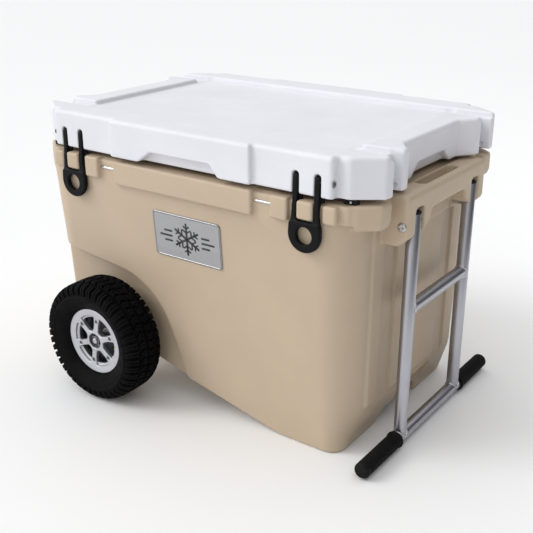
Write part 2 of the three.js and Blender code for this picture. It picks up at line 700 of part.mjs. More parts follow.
const knob = join(
  bar('x', 14.5, DRAIN_FACE + 3.3, DRAIN_FACE + 14, DRAIN_Y, DRAIN_Z, 24),
  bar('x', 5.3, DRAIN_FACE - 22, DRAIN_FACE + 3.4, DRAIN_Y, DRAIN_Z, 16),
);
add('drain_plug', knob, plastic);
add('drain_gasket', tube('x', 13, 5.6, DRAIN_FACE + GAP, DRAIN_FACE + 3, DRAIN_Y, DRAIN_Z, 24), rubber);

export default cooler;
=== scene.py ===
# A wheeled hard cooler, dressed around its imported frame.
# Shapes are worked out in millimetres in the tub's own coordinates: x = 0 is the tub's middle,
# +X is the handle end, -Y the latch side, and z = 0 the ground. to_frame() turns them into metres.
import math
from collections import namedtuple

import bpy
import numpy as np
from mathutils import Matrix, Vector


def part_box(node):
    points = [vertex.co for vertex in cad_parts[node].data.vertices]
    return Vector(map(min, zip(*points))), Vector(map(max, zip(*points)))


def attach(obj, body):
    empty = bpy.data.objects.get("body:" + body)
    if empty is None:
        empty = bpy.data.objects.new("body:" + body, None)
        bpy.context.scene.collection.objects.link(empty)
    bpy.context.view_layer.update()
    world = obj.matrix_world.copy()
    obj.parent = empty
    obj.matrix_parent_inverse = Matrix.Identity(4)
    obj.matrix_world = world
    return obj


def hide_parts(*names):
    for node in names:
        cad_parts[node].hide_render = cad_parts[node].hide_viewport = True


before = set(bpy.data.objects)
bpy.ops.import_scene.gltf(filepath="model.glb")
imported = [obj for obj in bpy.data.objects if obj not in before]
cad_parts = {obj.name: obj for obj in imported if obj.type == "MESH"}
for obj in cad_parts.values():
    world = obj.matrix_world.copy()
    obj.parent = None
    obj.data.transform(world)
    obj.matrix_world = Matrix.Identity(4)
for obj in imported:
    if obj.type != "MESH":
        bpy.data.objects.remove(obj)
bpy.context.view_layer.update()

MM = 0.001


def cad(node):
    """Lowest and highest corner of a CAD node, in millimetres in the tub's own coordinates."""
    low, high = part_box(node)
    shift = Vector((MIDDLE_X, 0, 0))
    return (low - shift) / MM, (high - shift) / MM


MIDDLE_X = sum(corner.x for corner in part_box("lid_shell")) / 2   # the tub's middle, in the frame's metres

TYRE_LOW, TYRE_HIGH = cad("tyre_front")
AXLE_X = (TYRE_LOW.x + TYRE_HIGH.x) / 2
AXLE_Z = (TYRE_LOW.z + TYRE_HIGH.z) / 2
TYRE_RADIUS = (TYRE_HIGH.z - TYRE_LOW.z) / 2
TYRE_HALF = (TYRE_HIGH.y - TYRE_LOW.y) / 2       # half the tyre's width
TYRE_MIDDLE = -(TYRE_HIGH.y + TYRE_LOW.y) / 2    # from the tub's middle to the tyre's

RIM_TOP = 451                      # the tub's rim
LID_BOTTOM = 461
LID_TOP = cad("lid_shell")[1].z
DECK = LID_TOP - 8                 # the sunken middle of the lid's top
MID_HALF, MID_SIDE = 149, 250      # the rim's middle block, half its length and half its width
LATCH_X, LATCH_SIDE = 248.5, 234   # middle of a latch, and the rim's half-width behind it
LATCH_PIN_Y, LATCH_PIN_Z = -239.6, 483.8
KEEPER_FRONT = -250.5
FOOT_START, BELLY_SLOPE = 169, 0.2487   # the belly rises from the foot's back edge
WELL_SIDE, WELL_RADIUS = 203, 128       # a wheel well's inner wall and its arc round the axle
BRACKET_FRONT, BRACKET_HALF = 369.4, 145
SLOT_INNER, SLOT_OUTER = 89, 119        # the slots in which the handle's legs hang
LEG_X, LEG_Y, PIVOT_Z = 359, 105, 405
HINGE_Y, HINGE_Z = 247, 456
DRAIN_FACE, DRAIN_Y, DRAIN_Z = 300, -8, 50
STOP_X, STOP_Y, STOP_Z = 311, 216, 455  # a lid stop and the height of its screw

ENDS = [("left", -1), ("right", 1)]
SIDES = [("front", -1), ("back", 1)]

# -------- distance fields

Shape = namedtuple("Shape", "low high distance")   # distance(x, y, z) is negative inside


def meet(a, b, radius):
    """What two solids share, with the edge between them rounded."""
    if radius <= 0:
        return np.maximum(a, b)
    corner = np.hypot(np.maximum(a + radius, 0), np.maximum(b + radius, 0))
    return np.minimum(-radius, np.maximum(a, b)) + corner


def block(x0, x1, y0, y1, z0, z1, edge):
    """A box whose edges are rounded."""
    def distance(x, y, z):
        across = [np.abs(p - (a + b) / 2) - (b - a) / 2 + edge
                  for p, a, b in ((x, x0, x1), (y, y0, y1), (z, z0, z1))]
        outside = np.sqrt(sum(np.maximum(q, 0) ** 2 for q in across))
        inside = np.minimum(np.maximum(np.maximum(across[0], across[1]), across[2]), 0)
        return outside + inside - edge
    return Shape((x0, y0, z0), (x1, y1, z1), distance)


def arc(radius, angles, u=0, v=0):
    """Points round (u, v) at the angles given."""
    return [(u + radius * math.cos(a), v + radius * math.sin(a)) for a in angles]


def even_angles(count):
    """Angles spread evenly over a whole turn."""
    return np.arange(count) * 2 * math.pi / count


def extruded(axis, section, spans, edge):
    """A section's distance carried along an axis. The spans are the section's two and the axis's own."""
    order = {"x": (1, 2, 0), "y": (0, 2, 1), "z": (0, 1, 2)}[axis]
    start, end = spans[2]

    def distance(*point):
        u, v, along = (point[i] for i in order)
        return meet(section(u, v), np.abs(along - (start + end) / 2) - (end - start) / 2, edge)
    low, high = [0, 0, 0], [0, 0, 0]
    for i, (a, b) in zip(order, spans):
        low[i], high[i] = a, b
    return Shape(tuple(low), tuple(high), distance)


def rod(axis, radius, start, end, u, v, edge):
    """A round bar along an axis, centred on the other two coordinates."""
    spans = [(u - radius, u + radius), (v - radius, v + radius), (start, end)]
    return extruded(axis, lambda a, b: np.hypot(a - u, b - v) - radius, spans, edge)


def softened(outline, steps=6):
    """An outline's corners turned into arcs. A corner is (u, v) or (u, v, radius)."""
    made = []
    for i, corner in enumerate(outline):
        here = Vector(corner[:2])
        before = Vector(outline[i - 1][:2]) - here
        after = Vector(outline[(i + 1) % len(outline)][:2]) - here
        radius = corner[2] if len(corner) > 2 else 0
        half = before.angle(after) / 2
        if radius <= 0 or half > math.radians(88):
            made.append(tuple(here))
            continue
        back = min(radius / math.tan(half), 0.48 * before.length, 0.48 * after.length)
        radius = back * math.tan(half)
        first, last = here + before.normalized() * back, here + after.normalized() * back
        centre = here + (before.normalized() + after.normalized()).normalized() * (radius / math.sin(half))
        for step in range(steps + 1):
            arm = (first - centre).lerp(last - centre, step / steps)
            made.append(tuple(centre + arm.normalized() * radius))
    return made


def outline_distance(points, u, v):
    """Distance to a closed flat outline, negative inside."""
    nearest = np.full(np.broadcast(u, v).shape, np.inf)
    inside = np.zeros(nearest.shape, bool)
    for (u0, v0), (u1, v1) in zip(points, points[1:] + points[:1]):
        du, dv = u1 - u0, v1 - v0
        share = np.clip(((u - u0) * du + (v - v0) * dv) / (du * du + dv * dv), 0, 1)
        nearest = np.minimum(nearest, (u - u0 - share * du) ** 2 + (v - v0 - share * dv) ** 2)
        if v0 != v1:
            inside ^= ((v0 > v) != (v1 > v)) & (u < du * (v - v0) / dv + u0)
    return np.where(inside, -1, 1) * np.sqrt(nearest)


def prism(axis, outline, start, end, edge):
    """A flat outline extruded along an axis: (y, z) along x, (x, z) along y, (x, y) along z."""
    points = softened(outline)
    spans = [(min(column), max(column)) for column in zip(*points)] + [(start, end)]
    return extruded(axis, lambda u, v: outline_distance(points, u, v), spans, edge)


def drafted(levels, edge):
    """Rounded rectangles stacked along z: each level is (z, x0, x1, half, radius)."""
    heights, *columns = (np.array(column, float) for column in zip(*levels))

    def distance(x, y, z):
        x0, x1, half, radius = (np.interp(z, heights, column) for column in columns)
        across = np.abs(x - (x0 + x1) / 2) - (x1 - x0) / 2 + radius
        deep = np.abs(y) - half + radius
        corner = np.hypot(np.maximum(across, 0), np.maximum(deep, 0))
        flat = corner + np.minimum(np.maximum(across, deep), 0) - radius
        slab = np.abs(z - (heights[0] + heights[-1]) / 2) - (heights[-1] - heights[0]) / 2
        return meet(flat, slab, edge)
    low = (columns[0].min(), -columns[2].max(), heights[0])
    high = (columns[1].max(), columns[2].max(), heights[-1])
    return Shape(low, high, distance)


def below(px, pz, slope, low, high):
    """Everything under a plane that rises along -x by slope, seen from the side."""
    lean = math.hypot(1, slope)
    return Shape(low, high, lambda x, y, z: (z - (pz + (px - x) * slope)) / lean)


class Field:
    """A solid as distances on a grid, built up by joining and cutting shapes."""
    REACH = 16.0
    CORNERS = np.array([(i, j, k) for i in (0, 1) for j in (0, 1) for k in (0, 1)])
    EDGES = [(a, b) for a in range(8) for b in range(a + 1, 8) if bin(a ^ b).count("1") == 1]

    def __init__(self, low, high, cell):
        self.cell = cell
        self.low = np.array(low, float) - 3 * cell
        counts = np.ceil((np.array(high) + 3 * cell - self.low) / cell).astype(int) + 1
        self.axes = [start + cell * np.arange(n) for start, n in zip(self.low, counts)]
        self.value = np.full(counts, 1e3, np.float32)

    def window(self, shape):
        spans = tuple(slice(np.searchsorted(axis, a - self.REACH), np.searchsorted(axis, b + self.REACH))
                      for axis, a, b in zip(self.axes, shape.low, shape.high))
        return spans, np.ix_(*(axis[span] for axis, span in zip(self.axes, spans)))

    def join(self, shape, fillet=0.0):
        spans, grids = self.window(shape)
        self.value[spans] = -meet(-self.value[spans], -shape.distance(*grids), fillet)
        return self

    def cut(self, shape, lip):
        spans, grids = self.window(shape)
        self.value[spans] = meet(self.value[spans], -shape.distance(*grids), lip)
        return self

    def sample(self, points):
        """The field between its grid points."""
        at = (points - self.low) / self.cell
        first = np.clip(at.astype(int), 0, np.array(self.value.shape) - 2)
        share = at - first
        total = np.zeros(len(points))
        for corner in self.CORNERS:
            weight = np.prod(np.where(corner, share, 1 - share), axis=1)
            total += weight * self.value[tuple((first + corner).T)]
        return total

    def slopes(self, points, step):
        return np.stack([self.sample(points + step * axis) - self.sample(points - step * axis)
                         for axis in np.eye(3)], axis=1) / (2 * step)

    def surface(self):
        """The zero surface as points and four-sided faces, one point in each cell that it crosses."""
        value, inside = self.value, self.value < 0
        cells = tuple(n - 1 for n in value.shape)
        count = sum(inside[tuple(slice(o, o + n) for o, n in zip(corner, cells))].astype(np.int8)
                    for corner in self.CORNERS)
        mixed = (count > 0) & (count < 8)
        where = np.argwhere(mixed)
        number = np.full(cells, -1, np.int64)
        number[mixed] = np.arange(len(where))
        values = np.stack([value[tuple((where + corner).T)] for corner in self.CORNERS], axis=1)
        total, hits = np.zeros((len(where), 3)), np.zeros(len(where))
        for a, b in self.EDGES:
            crossed = (values[:, a] < 0) != (values[:, b] < 0)
            share = values[crossed, a] / (values[crossed, a] - values[crossed, b])
            total[crossed] += self.CORNERS[a] + share[:, None] * (self.CORNERS[b] - self.CORNERS[a])
            hits[crossed] += 1
        points = self.low + self.cell * (where + total / hits[:, None])
        faces = []
        for axis in range(3):
            one, two = (axis + 1) % 3, (axis + 2) % 3
            here = tuple(slice(0, -1) if i == axis else slice(1, -1) for i in range(3))
            onward = tuple(slice(1, None) if i == axis else slice(1, -1) for i in range(3))
            start, end = inside[here], inside[onward]
            at = np.argwhere(start != end)
            leaving = start[tuple(at.T)]
            at[:, one] += 1
            at[:, two] += 1
            step_one, step_two = np.eye(3, dtype=int)[one], np.eye(3, dtype=int)[two]
            ring = [number[tuple((at - back).T)]
                    for back in (step_one + step_two, step_two, np.zeros(3, int), step_one)]
            quad = np.stack(ring, axis=1)
            quad[~leaving] = quad[~leaving][:, ::-1]
            faces.append(quad)
        return points, np.concatenate(faces)


# -------- objects

def to_frame(points):
    """Millimetres in the tub's own coordinates as metres in the frame."""
    return (np.asarray(points, float) + (MIDDLE_X / MM, 0, 0)) * MM


def new_object(name, data):
    made = bpy.data.objects.new(name, data)
    bpy.context.scene.collection.objects.link(made)
    return made


def set_places(mesh, points):
    mesh.vertices.foreach_set("co", to_frame(points).astype(np.float32).ravel())


def places_of(mesh):
    flat = np.empty(len(mesh.vertices) * 3, np.float32)
    mesh.vertices.foreach_get("co", flat)
    return flat.reshape(-1, 3).astype(float) / MM - (MIDDLE_X / MM, 0, 0)


def shade(mesh, smooth=True):
    mesh.polygons.foreach_set("use_smooth", np.full(len(mesh.polygons), smooth))


def make_object(name, points, faces, smooth=True):
    """A mesh object from points in millimetres and faces that all have the same number of corners."""
    faces = np.asarray(faces)
    mesh = bpy.data.meshes.new(name)
    mesh.vertices.add(len(points))
    set_places(mesh, points)
    mesh.loops.add(faces.size)
    mesh.loops.foreach_set("vertex_index", faces.astype(np.int32).ravel())
    mesh.polygons.add(len(faces))
    mesh.polygons.foreach_set("loop_start", np.arange(0, faces.size, faces.shape[1], dtype=np.int32))
    mesh.update(calc_edges=True)
    mesh.validate()
    shade(mesh, smooth)
    return new_object(name, mesh)


def apply_modifiers(obj):
    """Turns an object's modifiers into its mesh."""
    graph = bpy.context.evaluated_depsgraph_get()
    graph.update()
    mesh = bpy.data.meshes.new_from_object(obj.evaluated_get(graph), depsgraph=graph)
    obj.modifiers.clear()
    old, obj.data = obj.data, mesh
    bpy.data.meshes.remove(old)
    mesh.name = obj.name
    return obj


def moulded(name, field, keep):
    """A field's surface as an object: thinned, laid back on the surface, with the field's own normals
    and its curvature in the attribute "bend", which is above zero on outside edges."""
    made = make_object(name, *field.surface())
    thin = made.modifiers.new("thin", "DECIMATE")
    thin.ratio = keep
    apply_modifiers(made)
    mesh = made.data
    points = places_of(mesh)
    for _ in range(2):
        slope = field.slopes(points, field.cell * 0.5)
        points -= field.sample(points)[:, None] * slope / np.maximum((slope ** 2).sum(1), 0.2)[:, None]
    set_places(mesh, points)
    step = 2.0 * field.cell
    spread = sum(field.sample(points + sign * step * axis) for axis in np.eye(3) for sign in (-1, 1))
    bend = (spread - 6 * field.sample(points)) / step ** 2
    mesh.attributes.new("bend", "FLOAT", "POINT").data.foreach_set("value", bend.astype(np.float32))
    shade(mesh)
    slope = field.slopes(points, field.cell * 0.75)
    slope /= np.maximum(np.linalg.norm(slope, axis=1), 1e-6)[:, None]
    mesh.normals_split_custom_set_from_vertices(slope.tolist())
    mesh.update()
    return made


# -------- tub

def mirrored(outline, x_sign, y_sign):
    """An outline over (x, y), mirrored where a sign is -1."""
    return [(corner[0] * x_sign, corner[1] * y_sign, *corner[2:]) for corner in outline]


def span(a, b, sign):
    """The interval from a to b, or its mirror image."""
    return sorted((a * sign, b * sign))


def well_hollow():
    """The food well, with its floor raised over the axle."""
    walls = drafted([(42, -270, 250, 160, 34), (480, -286, 264, 187, 45)], edge=0)
    floor_start, floor_end, floor_high, floor_low = -110, 60, 142, 45

    def distance(x, y, z):
        height = np.interp(x, [floor_start, floor_end], [floor_high, floor_low])
        return meet(walls.distance(x, y, z), (height - z) * 0.9, 14)
    return Shape(walls.low, walls.high, distance)


def wheel_well(side):
    around = arc(WELL_RADIUS, np.radians(np.arange(88, 12, -4)), AXLE_X, AXLE_Z)
    outline = [(-420, -30), (-420, 258), (-285, 256, 30), *around, (-31, 63, 20), (-8, -30)]
    return prism("y", outline, *span(WELL_SIDE, 330, side), edge=5)


def handle_bracket():
    profile = [(296, 350), (318, 370, 8), (351, 370, 12), (BRACKET_FRONT, 387, 12), (BRACKET_FRONT, 455, 10),
               (331, 455, 3), (327, 451), (296, 451)]
    return prism("y", profile, -BRACKET_HALF, BRACKET_HALF, edge=8)


def hinge_parts(end):
    """The stretches of the hinge line that belong to the tub, and the one that belongs to the lid."""
    return [span(168, 192, end), span(253, 277, end)], span(193, 252, end)


def join_ear(field, x0, x1, z0, z1):
    field.join(block(x0, x1, HINGE_Y - 13, HINGE_Y + 7, z0, z1, 1.5), 2)
    field.join(rod("x", 7.5, x0, x1, HINGE_Y, HINGE_Z, 1), 0)


def join_walls(field):
    """The drafted walls, the panel of the handle end, the handle's bracket and the far end's grab lip."""
    field.join(drafted([(0, -325, 293, 204, 28), (70, -336, 318, 212, 58),
                        (411, -343, 321, 241, 62), (449, -343, 321, 241, 62)], edge=5))
    field.join(block(300, 322, -161, 161, 84, 402, 3.5), 6)
    for _, side in SIDES:
        field.cut(block(318, 340, *span(84, 126, side), 60, 385, 3), 2)
    field.join(handle_bracket(), 7)
    grab_lip = [(-300, 386), (-334, 392, 10), (-347, 398, 10), (-356, 413, 12), (-356, RIM_TOP, 8),
                (-300, RIM_TOP)]
    field.join(prism("y", grab_lip, -BRACKET_HALF, BRACKET_HALF, edge=7), 5)


def join_rim(field):
    """The rim: its middle block, a band and a thicker block at each corner, and three blocks at each
    latch, of which the first is its keeper."""
    field.join(block(-MID_HALF, MID_HALF, -MID_SIDE, MID_SIDE, 411, RIM_TOP + 1, 3.5), 2.5)
    band = [(MID_HALF - 8, LATCH_SIDE), (313, LATCH_SIDE, 14), (353, 199, 10), (353, 173, 3), (336, 173, 4),
            (336, 147), (336, 0), (MID_HALF - 8, 0)]
    corner = [(312, 212), (319, 223, 8), (325, 222.5, 10), (353, 199, 10), (353, 173, 4), (330, 173),
              (312, 173)]
    for _, end in ENDS:
        for _, side in SIDES:
            field.join(prism("z", mirrored(band, end, side), 421, RIM_TOP, edge=3), 2)
            field.join(prism("z", mirrored(corner, end, side), 412, 449, edge=3.5), 8)
    for _, end in ENDS:
        for x0, x1, front, bottom, top, fillet in ((234, 262.5, KEEPER_FRONT, 423, RIM_TOP + 1, 1.5),
                                                   (185, 217, KEEPER_FRONT, 415, RIM_TOP + 1, 1.5),
                                                   (276.5, 301, -245, 421, 450, 2.5)):
            field.join(block(*span(x0, x1, end), front, -225, bottom, top, 3.5), fillet)


def cut_underside(field):
    """The belly, the arch through the foot, and the wheel wells."""
    field.cut(below(FOOT_START, 0, BELLY_SLOPE, (-420, -260, -40), (FOOT_START + 60, 260, 160)), 7)
    arch = [(-84, -20), (-63, 30, 14), (63, 30, 14), (84, -20)]
    field.cut(prism("x", arch, 150, 400, edge=4), 5)
    for _, side in SIDES:
        field.cut(wheel_well(side), 4)


def cut_ends(field):
    """The bracket's hand hole and leg slots, the grab lip's finger groove and the drain's recess."""
    hand_hole = [(-63, 418, 9), (63, 418, 9), (68, 399, 10), (90, 385), (90, 340), (-90, 340), (-90, 385),
                 (-68, 399, 10)]
    field.cut(prism("x", hand_hole, 331, 390, edge=2), 3.5)
    field.cut(block(333, 353, -66, 66, 405, 470, 8), 4)
    for _, side in SIDES:
        slot = [(SLOT_INNER * side, 340), (SLOT_OUTER * side, 340), (SLOT_OUTER * side, 429, 6),
                (SLOT_INNER * side, 429, 6)]
        field.cut(prism("x", slot, 333, 390, edge=1), 3)
    field.cut(block(-352, -342, -60, 60, 380, 440, 3), 2)
    field.cut(block(DRAIN_FACE, 340, -27, 92, 17, 65, 6), 4)


def make_tub():
    field = Field((-357, -251, 0), (370, 256, 464), cell=2.6)
    join_walls(field)
    join_rim(field)
    cut_underside(field)
    cut_ends(field)
    field.cut(well_hollow(), 5)
    for _, end in ENDS:
        for x0, x1 in hinge_parts(end)[0]:
            join_ear(field, x0, x1, 428, HINGE_Z)
    field.cut(rod("x", 7.8, 236, 320, DRAIN_Y, DRAIN_Z, 0), 0.5)
    return moulded("tub", field, keep=0.13)


# -------- lid

def lid_outline():
    """The lid's edge: one quarter of it, mirrored three times."""
    quarter = [(MID_HALF, 253, 3), (MID_HALF, 245, 4), (294, 245, 7), (294, 230, 5), (313, 230, 16),
               (357, 197, 9), (360, 179, 4), (336, 179, 4), (336, 147, 4), (356, 143, 6), (356, 129, 9),
               (333, 98, 14)]
    return (mirrored(quarter, 1, -1) + mirrored(quarter, 1, 1)[::-1]
            + mirrored(quarter, -1, 1) + mirrored(quarter, -1, -1)[::-1])


def make_lid():
    field = Field((-360, -253, 446), (360, 254.5, LID_TOP), cell=1.9)
    above = LID_TOP + 40
    field.join(prism("z", lid_outline(), LID_BOTTOM, LID_TOP + 30, edge=3))
    field.cut(block(-400, 400, -400, 400, LID_TOP, LID_TOP + 60, 0), 7)
    field.cut(block(-285, 285, -186, 186, DECK, above, 4), 5)
    for _, end in ENDS:
        for _, side in SIDES:
            field.cut(block(*span(270, 400, end), *span(147, 186, side), DECK, above, 4), 4)
    skirt_top = LID_BOTTOM + 3
    field.join(drafted([(446, -279, 257, 180, 40), (skirt_top, -281, 259, 182, 42)], edge=4), 2)
    front_scoop = [(-88, 450), (-85, LID_BOTTOM), (-57, 481, 6), (69, 481, 6), (86, LID_BOTTOM), (90, 450)]
    field.cut(prism("y", front_scoop, -280, -238, edge=3), 3)
    end_scoop = [(-76, 450), (-70, LID_BOTTOM), (-49, 482, 6), (49, 482, 6), (70, LID_BOTTOM), (76, 450)]
    for _, end in ENDS:
        field.cut(prism("x", end_scoop, *span(320, 390, end), edge=3), 3)
        for first in (223, 262):
            x0, x1 = span(first, first + 12, end)
            slot = [(x0, 440), (x1, 440), (x1, 496, 5.8), (x0, 496, 5.8)]
            field.cut(prism("y", slot, -270, -227.5, edge=1), 1.2)
        field.cut(rod("x", 6.8, *span(292.5, 312, end), LATCH_PIN_Y, LATCH_PIN_Z, 0), 0.6)
        tub_ears, (ear_start, ear_end) = hinge_parts(end)
        for x0, x1 in tub_ears:
            field.cut(rod("x", 9, x0 - 1.5, x1 + 1.5, HINGE_Y, HINGE_Z, 0), 1)
            field.cut(block(x0 - 1.5, x1 + 1.5, 239, 270, 440, 458, 0), 1)
        join_ear(field, ear_start, ear_end, HINGE_Z, 480)
    return moulded("lid", field, keep=0.2)


# -------- latches

def make_latch(name, end):
    """A moulded stretch latch: two arms on the pin and a tab with a finger hole."""
    middle = LATCH_X * end
    tab_radius = 28.5
    field = Field((middle - 29, -252, 371), (middle + 29, -231, 493), cell=0.85)
    arm = [(-245.5, 492, 5), (-233, 492, 7), (-233, 477, 5), (-240.5, 440, 30), (-243, 412), (-243, 396),
           (-248, 396), (-248, 440, 30), (-246.5, 460, 30)]
    for start in (-23.5, 15):
        x0, x1 = span(LATCH_X + start, LATCH_X + start + 8.5, end)
        field.join(prism("x", arm, x0, x1, edge=1.4))
        field.join(block(x0 - 4.5, x1 + 4.5, -240, -234.5, 451.5, 459.5, 2), 2)
    round_end = arc(tab_radius, np.linspace(math.pi, 2 * math.pi, 25), middle, 400)
    neck = [(tab_radius, 412, 20), (23.5, 438, 20), (23.5, 446), (15, 446), (15, 420, 5), (-15, 420, 5),
            (-15, 446), (-23.5, 446), (-23.5, 438, 20)]
    tab = round_end + [(middle + corner[0], *corner[1:]) for corner in neck]
    field.join(prism("y", tab, -248, -243.3, edge=1.2), 1)
    disc = round_end + [(middle + 27.5, 419.5, 6), (middle - 27.5, 419.5, 6)]
    field.join(prism("y", disc, -251, -243.5, edge=2.2), 3)
    field.cut(rod("y", 14.2, -270, -230, middle, 398, 0), 2.2)
    return moulded(name, field, keep=0.35)


# -------- meshes without fields

def mixed_object(name, points, faces, sharp):
    """A closed mesh from points in millimetres and faces of any size, sharp where it turns hard.
    The faces all look the same way, in or out, and are turned outward."""
    volume = 0.0
    for face in faces:
        a = points[face[0]]
        for b, c in zip(face[1:-1], face[2:]):
            volume += np.dot(a, np.cross(points[b], points[c]))
    if volume <= 0:
        faces = [face[::-1] for face in faces]
    mesh = bpy.data.meshes.new(name)
    mesh.from_pydata([tuple(p) for p in to_frame(points)], [], faces)
    mesh.validate()
    shade(mesh)
    mesh.set_sharp_from_angle(angle=math.radians(sharp))
    return new_object(name, mesh)


def grid_faces(rows, columns, wrap):
    """Four-sided faces over rows x columns of points. Each row is a ring, and the rows wrap if asked."""
    row, column = np.indices((rows if wrap else rows - 1, columns)).reshape(2, -1)
    next_row, next_column = (row + 1) % rows, (column + 1) % columns
    return np.stack([row * columns + column, row * columns + next_column,
                     next_row * columns + next_column, next_row * columns + column], axis=1).tolist()


def basis(axis):
    """Three unit vectors, the last along the axis."""
    along = Vector(axis).normalized()
    across = along.orthogonal().normalized() if abs(along.y) < 0.99 else Vector((1, 0, 0))
    if abs(along.x) > 0.99:
        across = Vector((0, 1, 0))
    return across, along.cross(across), along


def lathe(name, profile, origin, axis, segments=48, closed=False, sharp=35, radius_at=None):
    """A turned piece. The profile is (radius, distance along the axis from the origin), with an optional
    corner radius, and runs from axis to axis unless it is closed. radius_at(radius, along, angles)
    may change the radius round the piece."""
    if closed:
        points = softened(profile, 4)
    else:
        whole = [(-1, profile[0][1]), *profile, (-1, profile[-1][1])]
        points = [p for p in softened(whole, 4) if p[0] > 0]
    across, up, along = (np.array(v) for v in basis(axis))
    angles = even_angles(segments)
    made = []
    for radius, distance in points:
        radii = radius_at(radius, distance, angles) if radius_at else np.full(segments, radius)
        ring = np.outer(np.cos(angles) * radii, across) + np.outer(np.sin(angles) * radii, up)
        made.append(ring + np.array(origin) + along * distance)
    made = np.concatenate(made)
    faces = [face[::-1] for face in grid_faces(len(points), segments, closed)]
    if not closed:
        last = len(points) - 1
        for distance, ring, turn in ((profile[0][1], 0, 1), (profile[-1][1], last, -1)):
            made = np.vstack([made, np.array(origin) + along * distance])
            centre = len(made) - 1
            first = ring * segments
            faces += [[first + i, first + (i + 1) % segments, centre][::-turn] for i in range(segments)]
    return mixed_object(name, made, faces, sharp)


def ring_object(name, points, rows, sharp=35):
    """A closed skin over rows of points that are joined round both ways."""
    return mixed_object(name, points, grid_faces(rows, len(points) // rows, True), sharp)


def pin(name, radius, start, end, origin, axis, edge=0.6, segments=32):
    return lathe(name, [(radius, start, edge), (radius, end, edge)], origin, axis, segments)


def sweep(name, path, section):
    """A closed section carried round a closed level path."""
    path, up = np.array(path), np.array((0, 0, 1.0))
    along = np.roll(path, -1, axis=0) - np.roll(path, 1, axis=0)
    out = np.cross(along, up)
    out /= np.linalg.norm(out, axis=1)[:, None]
    return ring_object(name, np.concatenate([path + out * u + up * v for u, v in section]), len(section))


def rounded_rectangle(u0, u1, v0, v1, radius, steps):
    """A closed outline whose corners are arcs of so many steps."""
    corners = [(u1 - radius, v0 + radius), (u1 - radius, v1 - radius),
               (u0 + radius, v1 - radius), (u0 + radius, v0 + radius)]
    return [point for quarter, centre in enumerate(corners)
            for point in arc(radius, (quarter - 1 + np.arange(steps + 1) / steps) * math.pi / 2, *centre)]


def plate_rings(half_width, half_height, radius, levels, steps=8):
    """Points of a rounded rectangle at each level (inset, depth), as flat (u, v, depth)."""
    rings = []
    for inset, depth in levels:
        w, h = half_width - inset, half_height - inset
        ring = rounded_rectangle(-w, w, -h, h, max(radius - inset, 0.5), steps)
        rings.append([(*point, depth) for point in ring])
    return np.array(rings)


# -------- screws and pins

def pan_screw(name, origin, axis, radius, height):
    """A pan-head screw's head with a cross recess."""
    cell = radius / 15
    field = Field((-radius, -radius, 0), (radius, radius, height), cell=cell)
    field.REACH = radius * 0.7
    ball = (radius ** 2 + height ** 2) / (2 * height) * 1.25

    def dome(x, y, z):
        round_top = np.sqrt(x * x + y * y + (z - height + ball) ** 2) - ball
        side = np.hypot(x, y) - radius
        return meet(meet(round_top, side, radius * 0.22), -z + 0 * x, 0.1)
    field.join(Shape((-radius, -radius, 0), (radius, radius, height), dome))
    wing, reach = radius * 0.13, radius * 0.55
    for u, v in ((wing, reach), (reach, wing)):
        field.cut(block(-u, u, -v, v, height * 0.45, height * 2, wing * 0.5), 0.12 * radius)
    return placed(moulded(name, field, keep=0.3), origin, axis)


def placed(obj, origin, axis):
    """Moves a piece made about the tub's origin, its own axis along z, to its place."""
    across, up, along = basis(axis)
    turn = Matrix((across, up, along)).transposed().to_4x4()
    home = Matrix.Translation((MIDDLE_X, 0, 0))
    there = Matrix.Translation(Vector(origin) * MM + Vector((MIDDLE_X, 0, 0)))
    obj.data.transform(there @ turn @ home.inverted())
    obj.data.update()
    return obj


def socket_bolt(name, origin, axis, radius, height):
    """A button-head bolt with a six-sided socket."""
    field = Field((-radius, -radius, 0), (radius, radius, height), cell=radius / 12)
    field.REACH = radius
    field.join(rod("z", radius, 0, height, 0, 0, radius * 0.35))
    field.cut(prism("z", arc(radius * 0.55, even_angles(6)), height * 0.4, height * 2, edge=0), 0.08 * radius)
    return placed(moulded(name, field, keep=0.25), origin, axis)


# -------- wheels

LUGS = 44
TREAD_DEPTH = 5.2
SPOKES, SPOKE_START = 6, math.radians(20.7)
BOLT_CIRCLE = 41
RING_INNER, RING_OUTER = 49.5, 63.3
RIM_FACE = 25                       # how far out of the tyre's middle the rim's lip is
WASHER_FACE, NUT_FACE = 281.4, 283.5


def tyre_section():
    """The tyre's section from its outer bead to its inner bead: (radius, out, height of tread, lug row)."""
    plain, shoulder, middle = 0, 1, 2
    wall = [(60.4, 20.5), (62.5, 22.6), (64.3, 22.8), (65.2, 24.6), (66.6, 27.6), (70.5, 31.6), (75, 35.2),
            (80, 38.1), (85, 40.0), (89, 41.0), (90, 41.9), (91.5, 41.9), (92.5, 41.0), (94, 40.2)]
    half = [(*point, 0, plain) for point in wall]
    half += [(*point, shoulder) for point in ((94.8, 39.4, 2.2), (99, 37.4, 4.2), (103, 34.8, 5.0),
                                              (105.8, 31.6, 5.4), (107.4, 27.6, 5.6), (108.3, 23.4, 5.4))]
    half += [(108.5, 22.6, 0, plain), (108.7, 19.6, 0, plain)]
    half += [(*point, TREAD_DEPTH, middle)
             for point in ((108.7, 18.8), (108.8, 15), (109, 11), (109, 7), (109.1, 2.6))]
    half += [(109.1, 1.8, 0, plain)]
    return half + [(radius, -out, height, -row) for radius, out, height, row in half[::-1]]


